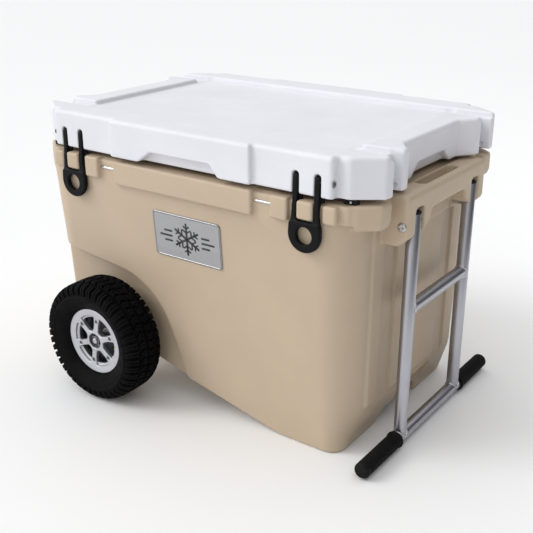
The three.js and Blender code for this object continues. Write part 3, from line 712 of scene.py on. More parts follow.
def make_tyre(name, side):
    """The tread's rows are shifted against each other, and each lug's two flanks get their own points."""
    section = np.array(tyre_section())
    radius, out, height, row = section.T
    along = np.gradient(section[:, :2], axis=0)
    normal = np.stack([along[:, 1], -along[:, 0]], axis=1)
    normal /= np.linalg.norm(normal, axis=1)[:, None]
    normal[normal[:, 0] < 0] *= -1
    row_phase = {0: 0.0, 1: 0.0, 2: 0.42, -2: 0.92, -1: 0.5}
    phase = np.zeros(len(section))
    last = 0.0
    for i, kind in enumerate(row):
        last = row_phase[int(kind)] if kind else last
        phase[i] = last
    slant = np.where(np.abs(out) < 21, 0.5 * np.sin(out / 20 * math.pi), 0.16 * np.sign(out) * (radius > 100))
    pitch = 2 * math.pi / LUGS
    fractions = np.array([0, 0.05, 0.27, 0.30, 0.36, 0.39, 0.62, 0.67])
    up = np.array([0, 1, 1, 0.55, 0.55, 1, 1, 0])
    turns = (np.arange(LUGS)[:, None] + fractions[None]).ravel() * pitch
    raised = np.tile(up, LUGS)
    angles = turns[:, None] + (phase + slant)[None] * pitch
    lift = raised[:, None] * height[None]
    reach = np.minimum(radius[None] + lift * normal[:, 0], TYRE_RADIUS)
    width = np.clip(out[None] + lift * normal[:, 1], -TYRE_HALF, TYRE_HALF)
    points = np.stack([AXLE_X + reach * np.cos(angles), side * (TYRE_MIDDLE + width),
                       AXLE_Z + reach * np.sin(angles)], axis=2)
    inner = [(61, -13), (75, -24), (92, -24), (102, -10), (102, 10), (92, 24), (75, 24), (61, 13)]
    inside = np.array([[(AXLE_X + r * math.cos(a), side * (TYRE_MIDDLE + o), AXLE_Z + r * math.sin(a))
                        for r, o in inner] for a in turns])
    points = np.concatenate([points, inside], axis=1)
    made = ring_object(name, points.reshape(-1, 3), len(turns), sharp=30)
    soften = made.modifiers.new("soften", "BEVEL")
    soften.width, soften.segments = 0.45 * MM, 2
    soften.limit_method, soften.angle_limit = "ANGLE", math.radians(38)
    return apply_modifiers(made)


def turned_shape(profile, side):
    """A turned solid on the wheel's axle, as a field shape. The profile is (radius, out)."""
    points = softened(profile, 4)
    reach = max(p[0] for p in points)
    outs = [p[1] for p in points]
    y0, y1 = span(TYRE_MIDDLE + min(outs), TYRE_MIDDLE + max(outs), side)

    def distance(x, y, z):
        return outline_distance(points, np.hypot(x - AXLE_X, z - AXLE_Z), y * side - TYRE_MIDDLE)
    return Shape((AXLE_X - reach, y0, AXLE_Z - reach), (AXLE_X + reach, y1, AXLE_Z + reach), distance)


def spoke_angles():
    return [SPOKE_START + spoke * math.pi / 3 for spoke in range(SPOKES)]


def make_rim(name, side):
    """The spoked face: an outer ring with a ledge inside it, six spokes and a hub ring."""
    def outward_span(start, end):
        return span(TYRE_MIDDLE + start, TYRE_MIDDLE + end, side)
    y0, y1 = outward_span(0.3, RIM_FACE)
    field = Field((AXLE_X - 64, y0, AXLE_Z - 64), (AXLE_X + 64, y1, AXLE_Z + 64), cell=0.9)
    ring = [(57, 0.3), (59.6, 0.3), (59.6, 18, 3), (62, 21.5, 2), (RING_OUTER, 22.6, 1),
            (RING_OUTER, RIM_FACE, 1.2), (60.5, RIM_FACE, 2), (RING_INNER + 1, 23.4, 1.2),
            (RING_INNER, 19, 1), (45.5, 18.4, 1), (45.5, 14.6, 1), (54, 14, 4), (57, 10, 3)]
    field.join(turned_shape(ring, side))
    field.join(turned_shape([(0, 11), (20.5, 11, 1), (20.5, 22.6, 2), (17, 23.6, 2), (0, 23.6)], side), 2)
    half_spoke = [(14, -7.5), (24, -5.6, 20), (36, -5.4, 20), (52, -8)]
    outline = half_spoke + mirrored(half_spoke, 1, -1)[::-1]
    bar, reach = prism("y", outline, *outward_span(14, 23), edge=1.6), 53
    for angle in spoke_angles():
        c, s = math.cos(angle), math.sin(angle)

        def distance(x, y, z, c=c, s=s):
            dx, dz = x - AXLE_X, z - AXLE_Z
            return bar.distance(dx * c + dz * s, y, dz * c - dx * s)
        field.join(Shape((AXLE_X - reach, bar.low[1], AXLE_Z - reach),
                         (AXLE_X + reach, bar.high[1], AXLE_Z + reach), distance), 2.5)
        u, v = AXLE_X + BOLT_CIRCLE * c, AXLE_Z + BOLT_CIRCLE * s
        field.cut(rod("y", 3.7, *outward_span(20.6, 30), u, v, 0), 0.7)
    field.cut(rod("y", 14.5, *outward_span(4, 40), AXLE_X, AXLE_Z, 0), 1.2)
    return moulded(name, field, keep=0.3)


def make_rim_inner(name, side):
    """The plain inner half of the rim, a deep dish."""
    profile = [(14.3, -19, 1), (50, -19, 6), (56, -25, 2), (RING_OUTER, -25, 1.2), (RING_OUTER, -22.6, 1),
               (59.6, -18, 3), (59.6, -0.3), (57, -0.3), (55, -10, 4), (50, -14.5, 4), (14.3, -14.5, 1)]
    return lathe(name, profile, (AXLE_X, side * TYRE_MIDDLE, AXLE_Z), (0, side, 0), 96, closed=True)


def make_valve(side_name, side):
    """A tyre valve that leans towards the axle: its stem, its rubber boot and its fluted cap."""
    lean = math.radians(-12)
    root = Vector((AXLE_X + 47 * math.cos(lean), side * (TYRE_MIDDLE + 8), AXLE_Z + 47 * math.sin(lean)))
    axis = Vector((-math.cos(lean) * 0.75, side * 0.55, -math.sin(lean) * 0.75))
    boot = lathe(f"valve_boot_{side_name}", [(5.2, -6, 1), (5.2, -2, 1), (3.6, 1, 1)], root, axis, 24)
    stem = lathe(f"valve_stem_{side_name}", [(2.6, -2), (2.6, 9), (2.1, 9.4), (2.1, 13, 0.4)], root, axis, 24)
    cap = lathe(f"valve_cap_{side_name}", [(3.1, 8.6, 0.4), (3.1, 14, 1.2)], root, axis, 24,
                radius_at=lambda radius, _, angles: radius + 0.18 * np.cos(angles * 12))
    return stem, boot, cap


def make_axle_ends(side_name, side):
    """Washer, lock nut with its nylon ring, and the threaded end of the axle, on one side."""
    axis, origin = (0, side, 0), (AXLE_X, 0, AXLE_Z)
    profile = [(13.9, WASHER_FACE, 0.5), (13.9, WASHER_FACE + 1.9, 0.5), (8.3, WASHER_FACE + 1.9, 0.2),
               (8.3, WASHER_FACE)]
    washer = lathe(f"washer_{side_name}", profile, origin, axis, 48, closed=True)
    field = Field((-11, -11, 0), (11, 11, 9), cell=0.5)
    field.REACH = 8
    field.join(prism("z", arc(10.6, even_angles(6) + 0.3), 0, 5.8, edge=0.3))
    field.join(rod("z", 8.2, 0, 7.9, 0, 0, 1.2), 0.6)
    field.cut(rod("z", 6.1, -5, 20, 0, 0, 0), 0.4)
    nut = placed(moulded(f"nut_{side_name}", field, keep=0.3), (AXLE_X, side * NUT_FACE, AXLE_Z), axis)
    profile = [(7.4, 290.9), (7.4, 291.6, 0.3), (5.8, 291.6, 0.3), (5.8, 290.9)]
    collar = lathe(f"nut_collar_{side_name}", profile, origin, axis, 40, closed=True)
    ridges = [(5.9 - 0.4 * (step % 2), 283 + step * 0.5) for step in range(17)]
    thread = lathe(f"axle_tip_{side_name}", [(5.9, 276), *ridges, (4.9, 291.8, 0.4)], origin, axis, 40)
    return washer, nut, collar, thread


# -------- handle

TUBE_RADIUS, TUBE_BORE = 11.1, 9.5
LEG_TOP = PIVOT_Z + 13
CROSS_Z, GRIP_Z = 254, 16.8
GRIP_START, GRIP_END = 120, 238
GRIP_RADIUS, GRIP_FLANGE = 14, 15.6


def cope(radius, angles, gap=0.3):
    """How far from its axis a tube's outside is, where a round of the radius given meets it square on."""
    return np.sqrt(np.maximum((TUBE_RADIUS + gap) ** 2 - (radius * np.cos(angles)) ** 2, 0))


def upright_ring(radius, angles, side, z):
    """A ring round a leg. Its height may change round it."""
    return np.stack([LEG_X + radius * np.cos(angles), side * LEG_Y + radius * np.sin(angles),
                     np.broadcast_to(z, angles.shape)], 1)


def level_ring(radius, angles, y):
    """A ring round the cross tube. Its distance along the tube may change round it."""
    return np.stack([LEG_X + radius * np.cos(angles), y, CROSS_Z + radius * np.sin(angles)], 1)


def coped_leg(name, side):
    """A leg whose lower end is shaped to sit on the round grip tube."""
    angles = even_angles(64)
    rows = []
    for radius, bevel in ((TUBE_RADIUS, 0.5), (TUBE_BORE, -0.3)):
        seat = GRIP_Z + cope(radius, angles)
        ring = [upright_ring(radius - pull, angles, side, z)
                for z, pull in ((seat, 0), (seat + 4, 0), (LEG_TOP - 0.6, 0), (LEG_TOP, bevel))]
        rows += ring if radius == TUBE_RADIUS else ring[::-1]
    return ring_object(name, np.concatenate(rows), len(rows), sharp=40)


def coped_cross(name):
    """The cross tube, whose ends wrap the legs."""
    angles = even_angles(64)
    rows = []
    for radius in (TUBE_RADIUS, TUBE_BORE):
        reach = LEG_Y - cope(radius, angles)
        ring = [level_ring(radius, angles, reach * share) for share in (-1, -0.9, 0.9, 1)]
        rows += ring if radius == TUBE_RADIUS else ring[::-1]
    return ring_object(name, np.concatenate(rows), len(rows), sharp=40)


def weld_bead(name, path, thickness):
    """A row of overlapping ripples laid along a closed joint."""
    ripples, sides = len(path) // 4, 10
    wave = 0.82 + 0.18 * np.abs(np.sin(np.arange(len(path)) * math.pi * ripples / len(path)))
    along = np.roll(path, -1, axis=0) - np.roll(path, 1, axis=0)
    along /= np.linalg.norm(along, axis=1)[:, None]
    out = path - path.mean(axis=0)
    out -= (out * along).sum(1)[:, None] * along
    out /= np.linalg.norm(out, axis=1)[:, None]
    up = np.cross(along, out)
    rings = [path + thickness * wave[:, None] * (math.cos(a) * out + math.sin(a) * up)
             for a in even_angles(sides)]
    return ring_object(name, np.concatenate(rings), sides, sharp=60)


def leg_weld(side):
    """Where a leg's outside meets the grip tube."""
    angles = even_angles(88)
    return upright_ring(TUBE_RADIUS + 0.3, angles, side, GRIP_Z + cope(TUBE_RADIUS * 0.97, angles, 0.2))


def cross_weld(side):
    """Where the cross tube's end meets a leg."""
    angles = even_angles(88)
    return level_ring(TUBE_RADIUS * 1.02, angles, side * (LEG_Y - cope(TUBE_RADIUS * 0.97, angles, 0.2)))


def make_grip(name, side):
    """A rubber grip: a flange, rows of small pads between ring grooves, and a domed end."""
    rings, flutes = 19, 18
    start, end = GRIP_START + 9, GRIP_END - 10
    pitch = (end - start) / rings
    profile = [(TUBE_RADIUS + 0.4, GRIP_START, 0.4), (GRIP_FLANGE, GRIP_START, 1.8),
               (GRIP_FLANGE, GRIP_START + 5, 1.8), (GRIP_RADIUS - 0.4, GRIP_START + 5.6, 0.5)]
    for i in range(rings):
        at = start + i * pitch
        profile += [(12.6, at), (GRIP_RADIUS - 0.1, at + 0.7), (GRIP_RADIUS - 0.1, at + pitch - 1.4),
                    (12.6, at + pitch - 0.7)]
    profile += [(GRIP_RADIUS - 0.2, end + 1), (GRIP_RADIUS - 0.2, GRIP_END, 5.5)]

    def fluted(radius, along, angles):
        if not (start < along < end and radius > 13.5):
            return np.full(len(angles), radius)
        row = int((along - start) / pitch)
        wave = np.cos(angles * flutes + row * math.pi)
        return radius - 0.95 * np.clip(-wave * 3 - 1.6, 0, 1)
    return lathe(name, profile, (LEG_X, 0, GRIP_Z), (0, side, 0), 240, radius_at=fluted, sharp=50)


# -------- small pieces

def make_plate():
    """The name plate's frame, its sunken face and a plain snowflake, flat and then laid on the front wall."""
    half_width, half_height, radius = 73.5, 41, 6
    lean = math.atan2(29, 341)
    centre = Vector((5, -235.1, 337))
    across, up = Vector((1, 0, 0)), Vector((0, -math.sin(lean), math.cos(lean)))
    out = across.cross(up).normalized()

    def laid(rings):
        return np.array([centre + across * u + up * v + out * w for u, v, w in rings.reshape(-1, 3)])

    def slab(name, rings):
        count = rings.shape[1]
        faces = grid_faces(len(rings), count, False)
        faces.append(list(range((len(rings) - 1) * count, len(rings) * count)))
        faces.append(list(range(count))[::-1])
        return mixed_object(name, laid(rings), faces, sharp=40)
    levels = [(0, 0), (0, 1.1), (0.25, 1.5), (0.9, 1.9), (1.7, 1.95), (2.4, 1.7), (2.9, 1.2), (3.0, 0.9),
              (3.0, 0)]
    rings = plate_rings(half_width, half_height, radius, levels)
    rim = ring_object("plate_rim", laid(rings), len(levels), sharp=40)
    face = slab("plate_face", plate_rings(half_width - 3.1, half_height - 3.1, radius - 3,
                                          [(0, 0.1), (0, 1.0), (0.15, 1.15)]))
    inks = []

    def bar(name, u, v, angle, length, width):
        c, s = math.cos(angle), math.sin(angle)
        rings = plate_rings(length / 2, width / 2, width * 0.45, [(0, 1.1), (0, 1.4), (0.12, 1.5)], 3)
        turned = rings.copy()
        turned[..., 0] = u + rings[..., 0] * c - rings[..., 1] * s
        turned[..., 1] = v + rings[..., 0] * s + rings[..., 1] * c
        inks.append(slab(name, turned))
    arms = 6
    for arm in range(arms // 2):
        bar(f"flake_arm_{arm}", 0, 0, math.pi / 2 + arm * math.pi / 3, 60, 4.2)
    for arm in range(arms):
        angle = math.pi / 2 + arm * math.pi / 3
        for reach, length in ((12, 11), (20, 8)):
            for turn in (-1, 1):
                branch = angle + turn * math.pi / 3
                bar(f"flake_twig_{arm}_{reach}_{turn + 1}",
                    reach * math.cos(angle) + length / 2 * math.cos(branch),
                    reach * math.sin(angle) + length / 2 * math.sin(branch), branch, length, 3.0)
    for turn in (-1, 1):
        for v, length in ((0, 28), (9, 18), (-9, 18)):
            bar(f"plate_stripe_{turn + 1}_{v + 9}", turn * (32 + length / 2), v, 0, length, 3.6)
    return rim, face, joined("plate_ornament", inks)


def joined(name, objects):
    """Several meshes as one object."""
    points, faces = [], []
    for obj in objects:
        first = len(points)
        points += [v.co.copy() for v in obj.data.vertices]
        faces += [[first + i for i in face.vertices] for face in obj.data.polygons]
        bpy.data.meshes.remove(obj.data)
    mesh = bpy.data.meshes.new(name)
    mesh.from_pydata(points, [], faces)
    shade(mesh)
    mesh.set_sharp_from_angle(angle=math.radians(40))
    return new_object(name, mesh)


def make_gasket():
    """The lid's seal: a soft hollow-looking bead on a flat foot."""
    path = [(x, y, 456) for x, y in rounded_rectangle(-312, 294, -209, 209, 44, 12)]
    angles = np.linspace(math.pi * 0.85, math.pi * 2.15, 13)
    bead = [(4.0 * math.cos(a), 3.9 * math.sin(a) - 0.6) for a in angles]
    section = [(-5.6, 4.6), (-5.6, 2.4), (-4.2, 1.2), *bead, (4.2, 1.2), (5.6, 2.4), (5.6, 4.6)]
    return sweep("lid_seal", path, section)


def make_stop(name, end, side):
    """One of the rubber blocks on which the lid rests."""
    x, y, bottom, top = STOP_X * end, STOP_Y * side, 451.3, 460.7
    low, high = (x - 11, y - 6, bottom), (x + 11, y + 6, top)
    field = Field(low, high, cell=0.7)
    field.REACH = 6
    field.join(block(low[0], high[0], low[1], high[1], bottom, top, 2.2))
    field.cut(rod("y", 2.9, *span(220, 225, side), x, STOP_Z, 0), 0.5)
    return moulded(name, field, keep=0.35)


def make_drain_plug():
    """The drain plug's knob with eight finger hollows, and its neck."""
    field = Field((281, DRAIN_Y - 14.5, DRAIN_Z - 14.5), (314, DRAIN_Y + 14.5, DRAIN_Z + 14.5), cell=0.65)
    field.REACH = 8
    field.join(rod("x", 14.5, 303.3, 314, DRAIN_Y, DRAIN_Z, 2))
    field.join(rod("x", 5.3, 278.5, 304, DRAIN_Y, DRAIN_Z, 1), 1.5)
    for hollow in range(8):
        angle = hollow * math.pi / 4
        field.cut(rod("x", 4, 306, 330, DRAIN_Y + 17 * math.cos(angle), DRAIN_Z + 17 * math.sin(angle), 0), 1)
    field.cut(rod("x", 7.5, 311.5, 330, DRAIN_Y, DRAIN_Z, 0.8), 0.8)
    return moulded("drain_knob", field, keep=0.35)


# -------- materials

MIX_A, MIX_B, MIX_RESULT = 6, 7, 2     # the colour sockets of a mix node, whose names aren't unique


def new_node(tree, kind, values, links):
    """A new node, with the values of some of its sockets and what is linked to others."""
    made = tree.nodes.new("ShaderNode" + kind)
    for socket, value in values.items():
        made.inputs[socket].default_value = value
    for socket, source in links.items():
        tree.links.new(source, made.inputs[socket])
    return made


class Nodes:
    """A short way to write a material's node tree."""
    def __init__(self, name, colour, roughness, metallic=0.0, **sockets):
        self.material = bpy.data.materials.new(name)
        self.material.use_nodes = True
        self.material.diffuse_color = (*colour, 1)
        self.own = colour
        self.tree = self.material.node_tree
        self.shader = self.tree.nodes["Principled BSDF"]
        values = {"Base Color": (*colour, 1), "Roughness": roughness, "Metallic": metallic, **sockets}
        for socket, value in values.items():
            self.shader.inputs[socket].default_value = value
        self.place = self.tree.nodes.new("ShaderNodeTexCoord").outputs["Object"]
        self.height = None

    def link(self, source, target):
        self.tree.links.new(source, target)

    def node(self, kind, values, links):
        return new_node(self.tree, kind, values, links)

    def stretched(self, scale):
        """Object coordinates times a scale for each axis."""
        return self.node("Mapping", {"Scale": scale}, {"Vector": self.place}).outputs["Vector"]

    def noise(self, scale, detail, rough, vector=None):
        values = {"Scale": scale, "Detail": detail, "Roughness": rough}
        return self.node("TexNoise", values, {"Vector": vector or self.place}).outputs["Fac"]

    def cells(self, scale):
        return self.node("TexVoronoi", {"Scale": scale}, {"Vector": self.place}).outputs["Distance"]

    def attribute(self, name):
        node = self.node("Attribute", {}, {})
        node.attribute_name = name
        return node.outputs["Fac"]

    def ranged(self, source, low, high, to_low, to_high):
        values = {"From Min": low, "From Max": high, "To Min": to_low, "To Max": to_high}
        return self.node("MapRange", values, {"Value": source}).outputs["Result"]

    def tint(self, source, *shares):
        """The material's own colour times a share that changes along the source: (position, share), ..."""
        node = self.node("ValToRGB", {}, {"Fac": source})
        ramp = node.color_ramp
        while len(ramp.elements) < len(shares):
            ramp.elements.new(0.5)
        for element, (position, share) in zip(ramp.elements, shares):
            element.position = position
            element.color = (*scaled(self.own, share), 1)
        return node.outputs["Color"]

    def mixed(self, share, source, colour):
        """A source's colour that gives way to a plain one where the share is high."""
        node = self.node("Mix", {}, {0: share})
        node.data_type = "RGBA"
        self.link(source, node.inputs[MIX_A])
        node.inputs[MIX_B].default_value = (*colour, 1)
        return node.outputs[MIX_RESULT]

    def colour(self, source):
        self.link(source, self.shader.inputs["Base Color"])

    def roughness(self, source, low, high):
        self.link(self.ranged(source, 0.25, 0.75, low, high), self.shader.inputs["Roughness"])

    def bump(self, source, strength, distance):
        """Adds a layer of bump. Distance is in metres."""
        below_it = {"Normal": self.height} if self.height else {}
        node = self.node("Bump", {"Strength": strength, "Distance": distance}, {"Height": source, **below_it})
        self.height = node.outputs["Normal"]
        self.link(self.height, self.shader.inputs["Normal"])


def scaled(colour, share):
    return tuple(min(channel * share, 1) for channel in colour)


def rotomoulded(name, colour, hollow_shade):
    """Rotomoulded polyethylene: fine grain, soft waviness, lighter outside edges (rubbed wear and a painted
    highlight) and painted shade in the hollows.
    """
    m = Nodes(name, colour, 0.46, **{"Specular IOR Level": 0.45})
    broad, fine = m.noise(9, 3, 0.55), m.noise(700, 2, 0.5)
    base = m.tint(broad, (0.3, 0.965), (0.7, 1.03))
    speck = m.ranged(m.noise(1500, 1, 0.5), 0.60, 0.72, 0, 0.35)
    base = m.mixed(speck, base, scaled(colour, 0.82))
    bend = m.attribute("bend")
    # outside edges made lighter: partly rubbed wear, partly a painted highlight where the edges catch the
    # light
    base = m.mixed(m.ranged(bend, 0.12, 0.6, 0, 0.3), base, scaled(colour, 1.1))
    # hollows and creases made darker: painted shade, mixed in by the negative curvature
    base = m.mixed(m.ranged(bend, -0.05, -0.45, 0, 0.5), base, hollow_shade)
    m.colour(base)
    m.roughness(m.noise(38, 4, 0.6), 0.36, 0.54)
    m.bump(broad, 0.25, 0.0016)
    m.bump(m.cells(420), 0.16, 0.0004)
    m.bump(fine, 0.28, 0.00035)
    return m.material


def rubber(name, colour, roughness, scale=900, depth=0.35):
    m = Nodes(name, colour, roughness, **{"Specular IOR Level": 0.12})
    m.colour(m.tint(m.noise(55, 4, 0.6), (0.3, 0.8), (0.72, 1.5)))
    m.roughness(m.noise(120, 3, 0.6), roughness - 0.08, roughness + 0.1)
    m.bump(m.noise(scale, 2, 0.5), depth, 0.0003)
    return m.material


def tyre_rubber():
    """Tyre rubber: paler dusty patches and fine mould marks."""
    m = Nodes("tyre_rubber", (0.0045, 0.0043, 0.0048), 0.72, **{"Specular IOR Level": 0.07})
    m.colour(m.tint(m.noise(34, 5, 0.65), (0.35, 0.75), (0.66, 1.4), (0.9, 2.2)))
    m.roughness(m.noise(90, 4, 0.6), 0.58, 0.85)
    m.bump(m.noise(420, 3, 0.6), 0.5, 0.0005)
    return m.material


def brushed(name, colour, roughness, scale, streak, anisotropic, dirt=0.06):
    """Metal with fine streaks: scale holds how tight they are along each axis."""
    m = Nodes(name, colour, roughness, 1.0, Anisotropic=anisotropic)
    lines = m.noise(1, 4, 0.65, vector=m.stretched(scale))
    base = m.tint(lines, (0.3, 1 - dirt), (0.7, 1 + dirt))
    m.colour(m.mixed(m.ranged(m.noise(26, 4, 0.6), 0.45, 0.8, 0, 0.35), base, scaled(colour, 1 - 2 * dirt)))
    m.roughness(lines, roughness - 0.07, roughness + 0.09)
    m.bump(lines, streak, 0.00015)
    return m.material


def painted_alloy(name, colour, roughness, metallic):
    """Silver paint with fine flake over cast alloy."""
    m = Nodes(name, colour, roughness, metallic, **{"Coat Weight": 0.25, "Coat Roughness": 0.2})
    base = m.tint(m.cells(2600), (0.1, 1.1), (0.5, 0.93))
    m.colour(m.mixed(m.ranged(m.noise(70, 3, 0.6), 0.5, 0.8, 0, 0.3), base, scaled(colour, 0.85)))
    m.roughness(m.noise(300, 3, 0.6), roughness - 0.06, roughness + 0.1)
    m.bump(m.noise(900, 2, 0.5), 0.2, 0.0002)
    return m.material


def bead_metal():
    """Bright, lumpy weld metal."""
    m = Nodes("weld_metal", (0.74, 0.74, 0.77), 0.3, 1.0)
    m.colour(m.tint(m.noise(240, 4, 0.7), (0.3, 0.7), (0.7, 1)))
    m.roughness(m.noise(500, 2, 0.5), 0.22, 0.46)
    m.bump(m.noise(450, 3, 0.6), 0.6, 0.0005)
    return m.material


def foam_filling():
    m = Nodes("foam_filling", (0.86, 0.74, 0.42), 0.95)
    m.colour(m.tint(m.noise(60, 4, 0.6), (0.3, 0.85), (0.7, 1.08)))
    m.bump(m.cells(600), 0.8, 0.0008)
    return m.material


def enamel(name, colour):
    m = Nodes(name, colour, 0.28, **{"Coat Weight": 0.3, "Coat Roughness": 0.15})
    m.colour(m.tint(m.noise(200, 2, 0.5), (0.3, 0.85), (0.7, 1.2)))
    m.bump(m.noise(1200, 2, 0.5), 0.08, 0.0001)
    return m.material


def make_materials():
    # colours of the painted shade in the hollows of the tan and white mouldings
    tan_hollow_shade = (0.34, 0.26, 0.18)
    white_hollow_shade = (0.58, 0.58, 0.60)
    return {
        "moulded_tan": rotomoulded("moulded_tan", (0.52, 0.413, 0.297), tan_hollow_shade),
        "moulded_white": rotomoulded("moulded_white", (0.74, 0.74, 0.785), white_hollow_shade),
        "latch_rubber": rubber("latch_rubber", (0.0045, 0.0045, 0.0052), 0.5),
        "grip_rubber": rubber("grip_rubber", (0.006, 0.006, 0.0065), 0.55, 600, 0.5),
        "black_rubber": rubber("black_rubber", (0.010, 0.010, 0.0105), 0.6),
        "black_plastic": rubber("black_plastic", (0.014, 0.014, 0.015), 0.38, 1200, 0.15),
        "tyre_rubber": tyre_rubber(),
        "handle_aluminium": brushed("handle_aluminium", (0.46, 0.46, 0.50), 0.33, (900, 900, 14), 0.12, 0.3),
        "cross_aluminium": brushed("cross_aluminium", (0.46, 0.46, 0.50), 0.33, (900, 14, 900), 0.12, 0.3),
        "rim_paint": painted_alloy("rim_paint", (0.57, 0.57, 0.61), 0.36, 0.85),
        # the rim's inner dish: a dark paint, made darker still as painted shade for the shadow inside the
        # wheel
        "rim_dark_paint_and_shade": painted_alloy("rim_dark_paint_and_shade", (0.09, 0.09, 0.10), 0.45, 0.7),
        "plate_face": brushed("plate_face", (0.43, 0.43, 0.44), 0.36, (16, 1500, 1500), 0.35, 0.5),
        "plate_rim": brushed("plate_rim", (0.30, 0.30, 0.32), 0.16, (300, 300, 300), 0.05, 0.0, 0.03),
        "plate_ink": enamel("plate_ink", (0.012, 0.012, 0.014)),
        "stainless": brushed("stainless", (0.63, 0.63, 0.64), 0.22, (40, 1400, 1400), 0.15, 0.2),
        "zinc_steel": brushed("zinc_steel", (0.50, 0.50, 0.50), 0.34, (500, 500, 500), 0.3, 0.0, 0.12),
        "bolt_steel": brushed("bolt_steel", (0.19, 0.19, 0.20), 0.32, (700, 700, 700), 0.2, 0.0, 0.1),
        "brass": brushed("brass", (0.62, 0.42, 0.16), 0.3, (600, 600, 600), 0.2, 0.0, 0.12),
        "weld_metal": bead_metal(),
        "insulation_foam": foam_filling(),
    }


# -------- scene

FINISHES = make_materials()

# The CAD nodes that are shown as they are.
CAD_FINISHES = {"tub_foam": "insulation_foam", "lid_foam": "insulation_foam", "tub_foam_plug": "moulded_tan",
                "lid_foam_plug": "moulded_white", "drain_tube": "black_plastic"}
for side_name, _ in SIDES:
    for part, finish in (("axle_spacer", "zinc_steel"), ("bearing_inner", "zinc_steel"),
                         ("bearing_outer", "zinc_steel"), ("inner_tube", "black_rubber"),
                         ("pivot_bush", "black_plastic")):
        CAD_FINISHES[f"{part}_{side_name}"] = finish


def fit(piece, body, finish, *nodes):
    """Gives a piece its finish and its body, in place of the CAD nodes named."""
    piece.data.materials.clear()
    piece.data.materials.append(FINISHES[finish])
    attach(piece, body)
    if nodes:
        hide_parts(*nodes)


def add_tub():
    fit(make_tub(), "tub", "moulded_tan", "tub_shell")
    rim, face, ornament = make_plate()
    fit(ornament, "tub", "plate_ink")
    fit(rim, "tub", "plate_rim")
    fit(face, "tub", "plate_face", "name_plate")
    along_x = (1, 0, 0)
    for end_name, end in ENDS:
        bar = pin(f"tie_bar_{end_name}_round", 2.5, *span(141.5, 193.5, end), (0, -241, 435), along_x)
        fit(bar, "tub", "stainless", f"tie_bar_{end_name}")
        hinge = pin(f"hinge_pin_{end_name}_round", 4, *span(165, 280, end), (0, HINGE_Y, HINGE_Z), along_x)
        fit(hinge, "tub", "stainless", f"hinge_pin_{end_name}")
        for side_name, side in SIDES:
            name = f"{side_name}_{end_name}"
            fit(make_stop(f"stop_block_{name}", end, side), "tub", "black_rubber", f"lid_stop_{name}")
            if side < 0:
                seat = (STOP_X * end, side * 220.1, STOP_Z)
                fit(pan_screw(f"stop_screw_{name}", seat, (0, side, 0), 2.5, 1.4), "tub", "stainless")
    gasket = lathe("drain_seal_ring", [(13, 300.3, 0.9), (13, 303, 0.9), (5.6, 303, 0.3), (5.6, 300.3, 0.3)],
                   (0, DRAIN_Y, DRAIN_Z), along_x, 48, closed=True)
    fit(gasket, "drain_seal", "black_rubber", "drain_gasket")
    fit(make_drain_plug(), "drain_plug", "black_plastic", "drain_plug")


def add_pivots_and_axle():
    for side_name, side in SIDES:
        axis = (0, side, 0)
        shank = pin(f"pivot_shank_{side_name}", 4, 79, 146, (LEG_X, 0, PIVOT_Z), axis)
        fit(shank, "tub", "stainless", f"pivot_bolt_{side_name}")
        head = pan_screw(f"pivot_head_{side_name}", (LEG_X, side * 145.3, PIVOT_Z), axis, 8, 3.2)
        fit(head, "tub", "zinc_steel")
    axle = pin("axle_rod", 8, -281, 281, (AXLE_X, 0, AXLE_Z), (0, 1, 0), 1, 40)
    fit(axle, "tub", "zinc_steel", "axle")
    for side_name, side in SIDES:
        washer, nut, collar, tip = make_axle_ends(side_name, side)
        fit(washer, "tub", "bolt_steel", f"axle_washer_{side_name}")
        fit(nut, "tub", "bolt_steel", f"axle_nut_{side_name}")
        fit(collar, "tub", "black_plastic")
        fit(tip, "tub", "zinc_steel")


def add_lid():
    fit(make_lid(), "lid", "moulded_white", "lid_shell")
    fit(make_gasket(), "lid", "black_rubber", "lid_gasket")
    for end_name, end in ENDS:
        axis = (end, 0, 0)
        rod_pin = pin(f"latch_rod_{end_name}", 3, LATCH_X - 44, 293.4, (0, LATCH_PIN_Y, LATCH_PIN_Z), axis)
        fit(rod_pin, "lid", "stainless", f"latch_pin_{end_name}")
        seat = (end * 293.3, LATCH_PIN_Y, LATCH_PIN_Z)
        fit(pan_screw(f"latch_rod_head_{end_name}", seat, axis, 5, 2.7), "lid", "bolt_steel")
        for side_name, side in SIDES:
            name = f"{side_name}_{end_name}"
            corner = pin(f"corner_rod_{name}", 2.5, *span(139, 188, side), (345 * end, 0, 471), (0, 1, 0))
            fit(corner, "lid", "stainless", f"corner_pin_{name}")
        latch = f"latch_{end_name}"
        fit(make_latch(f"{latch}_skin", end), latch, "latch_rubber", latch)


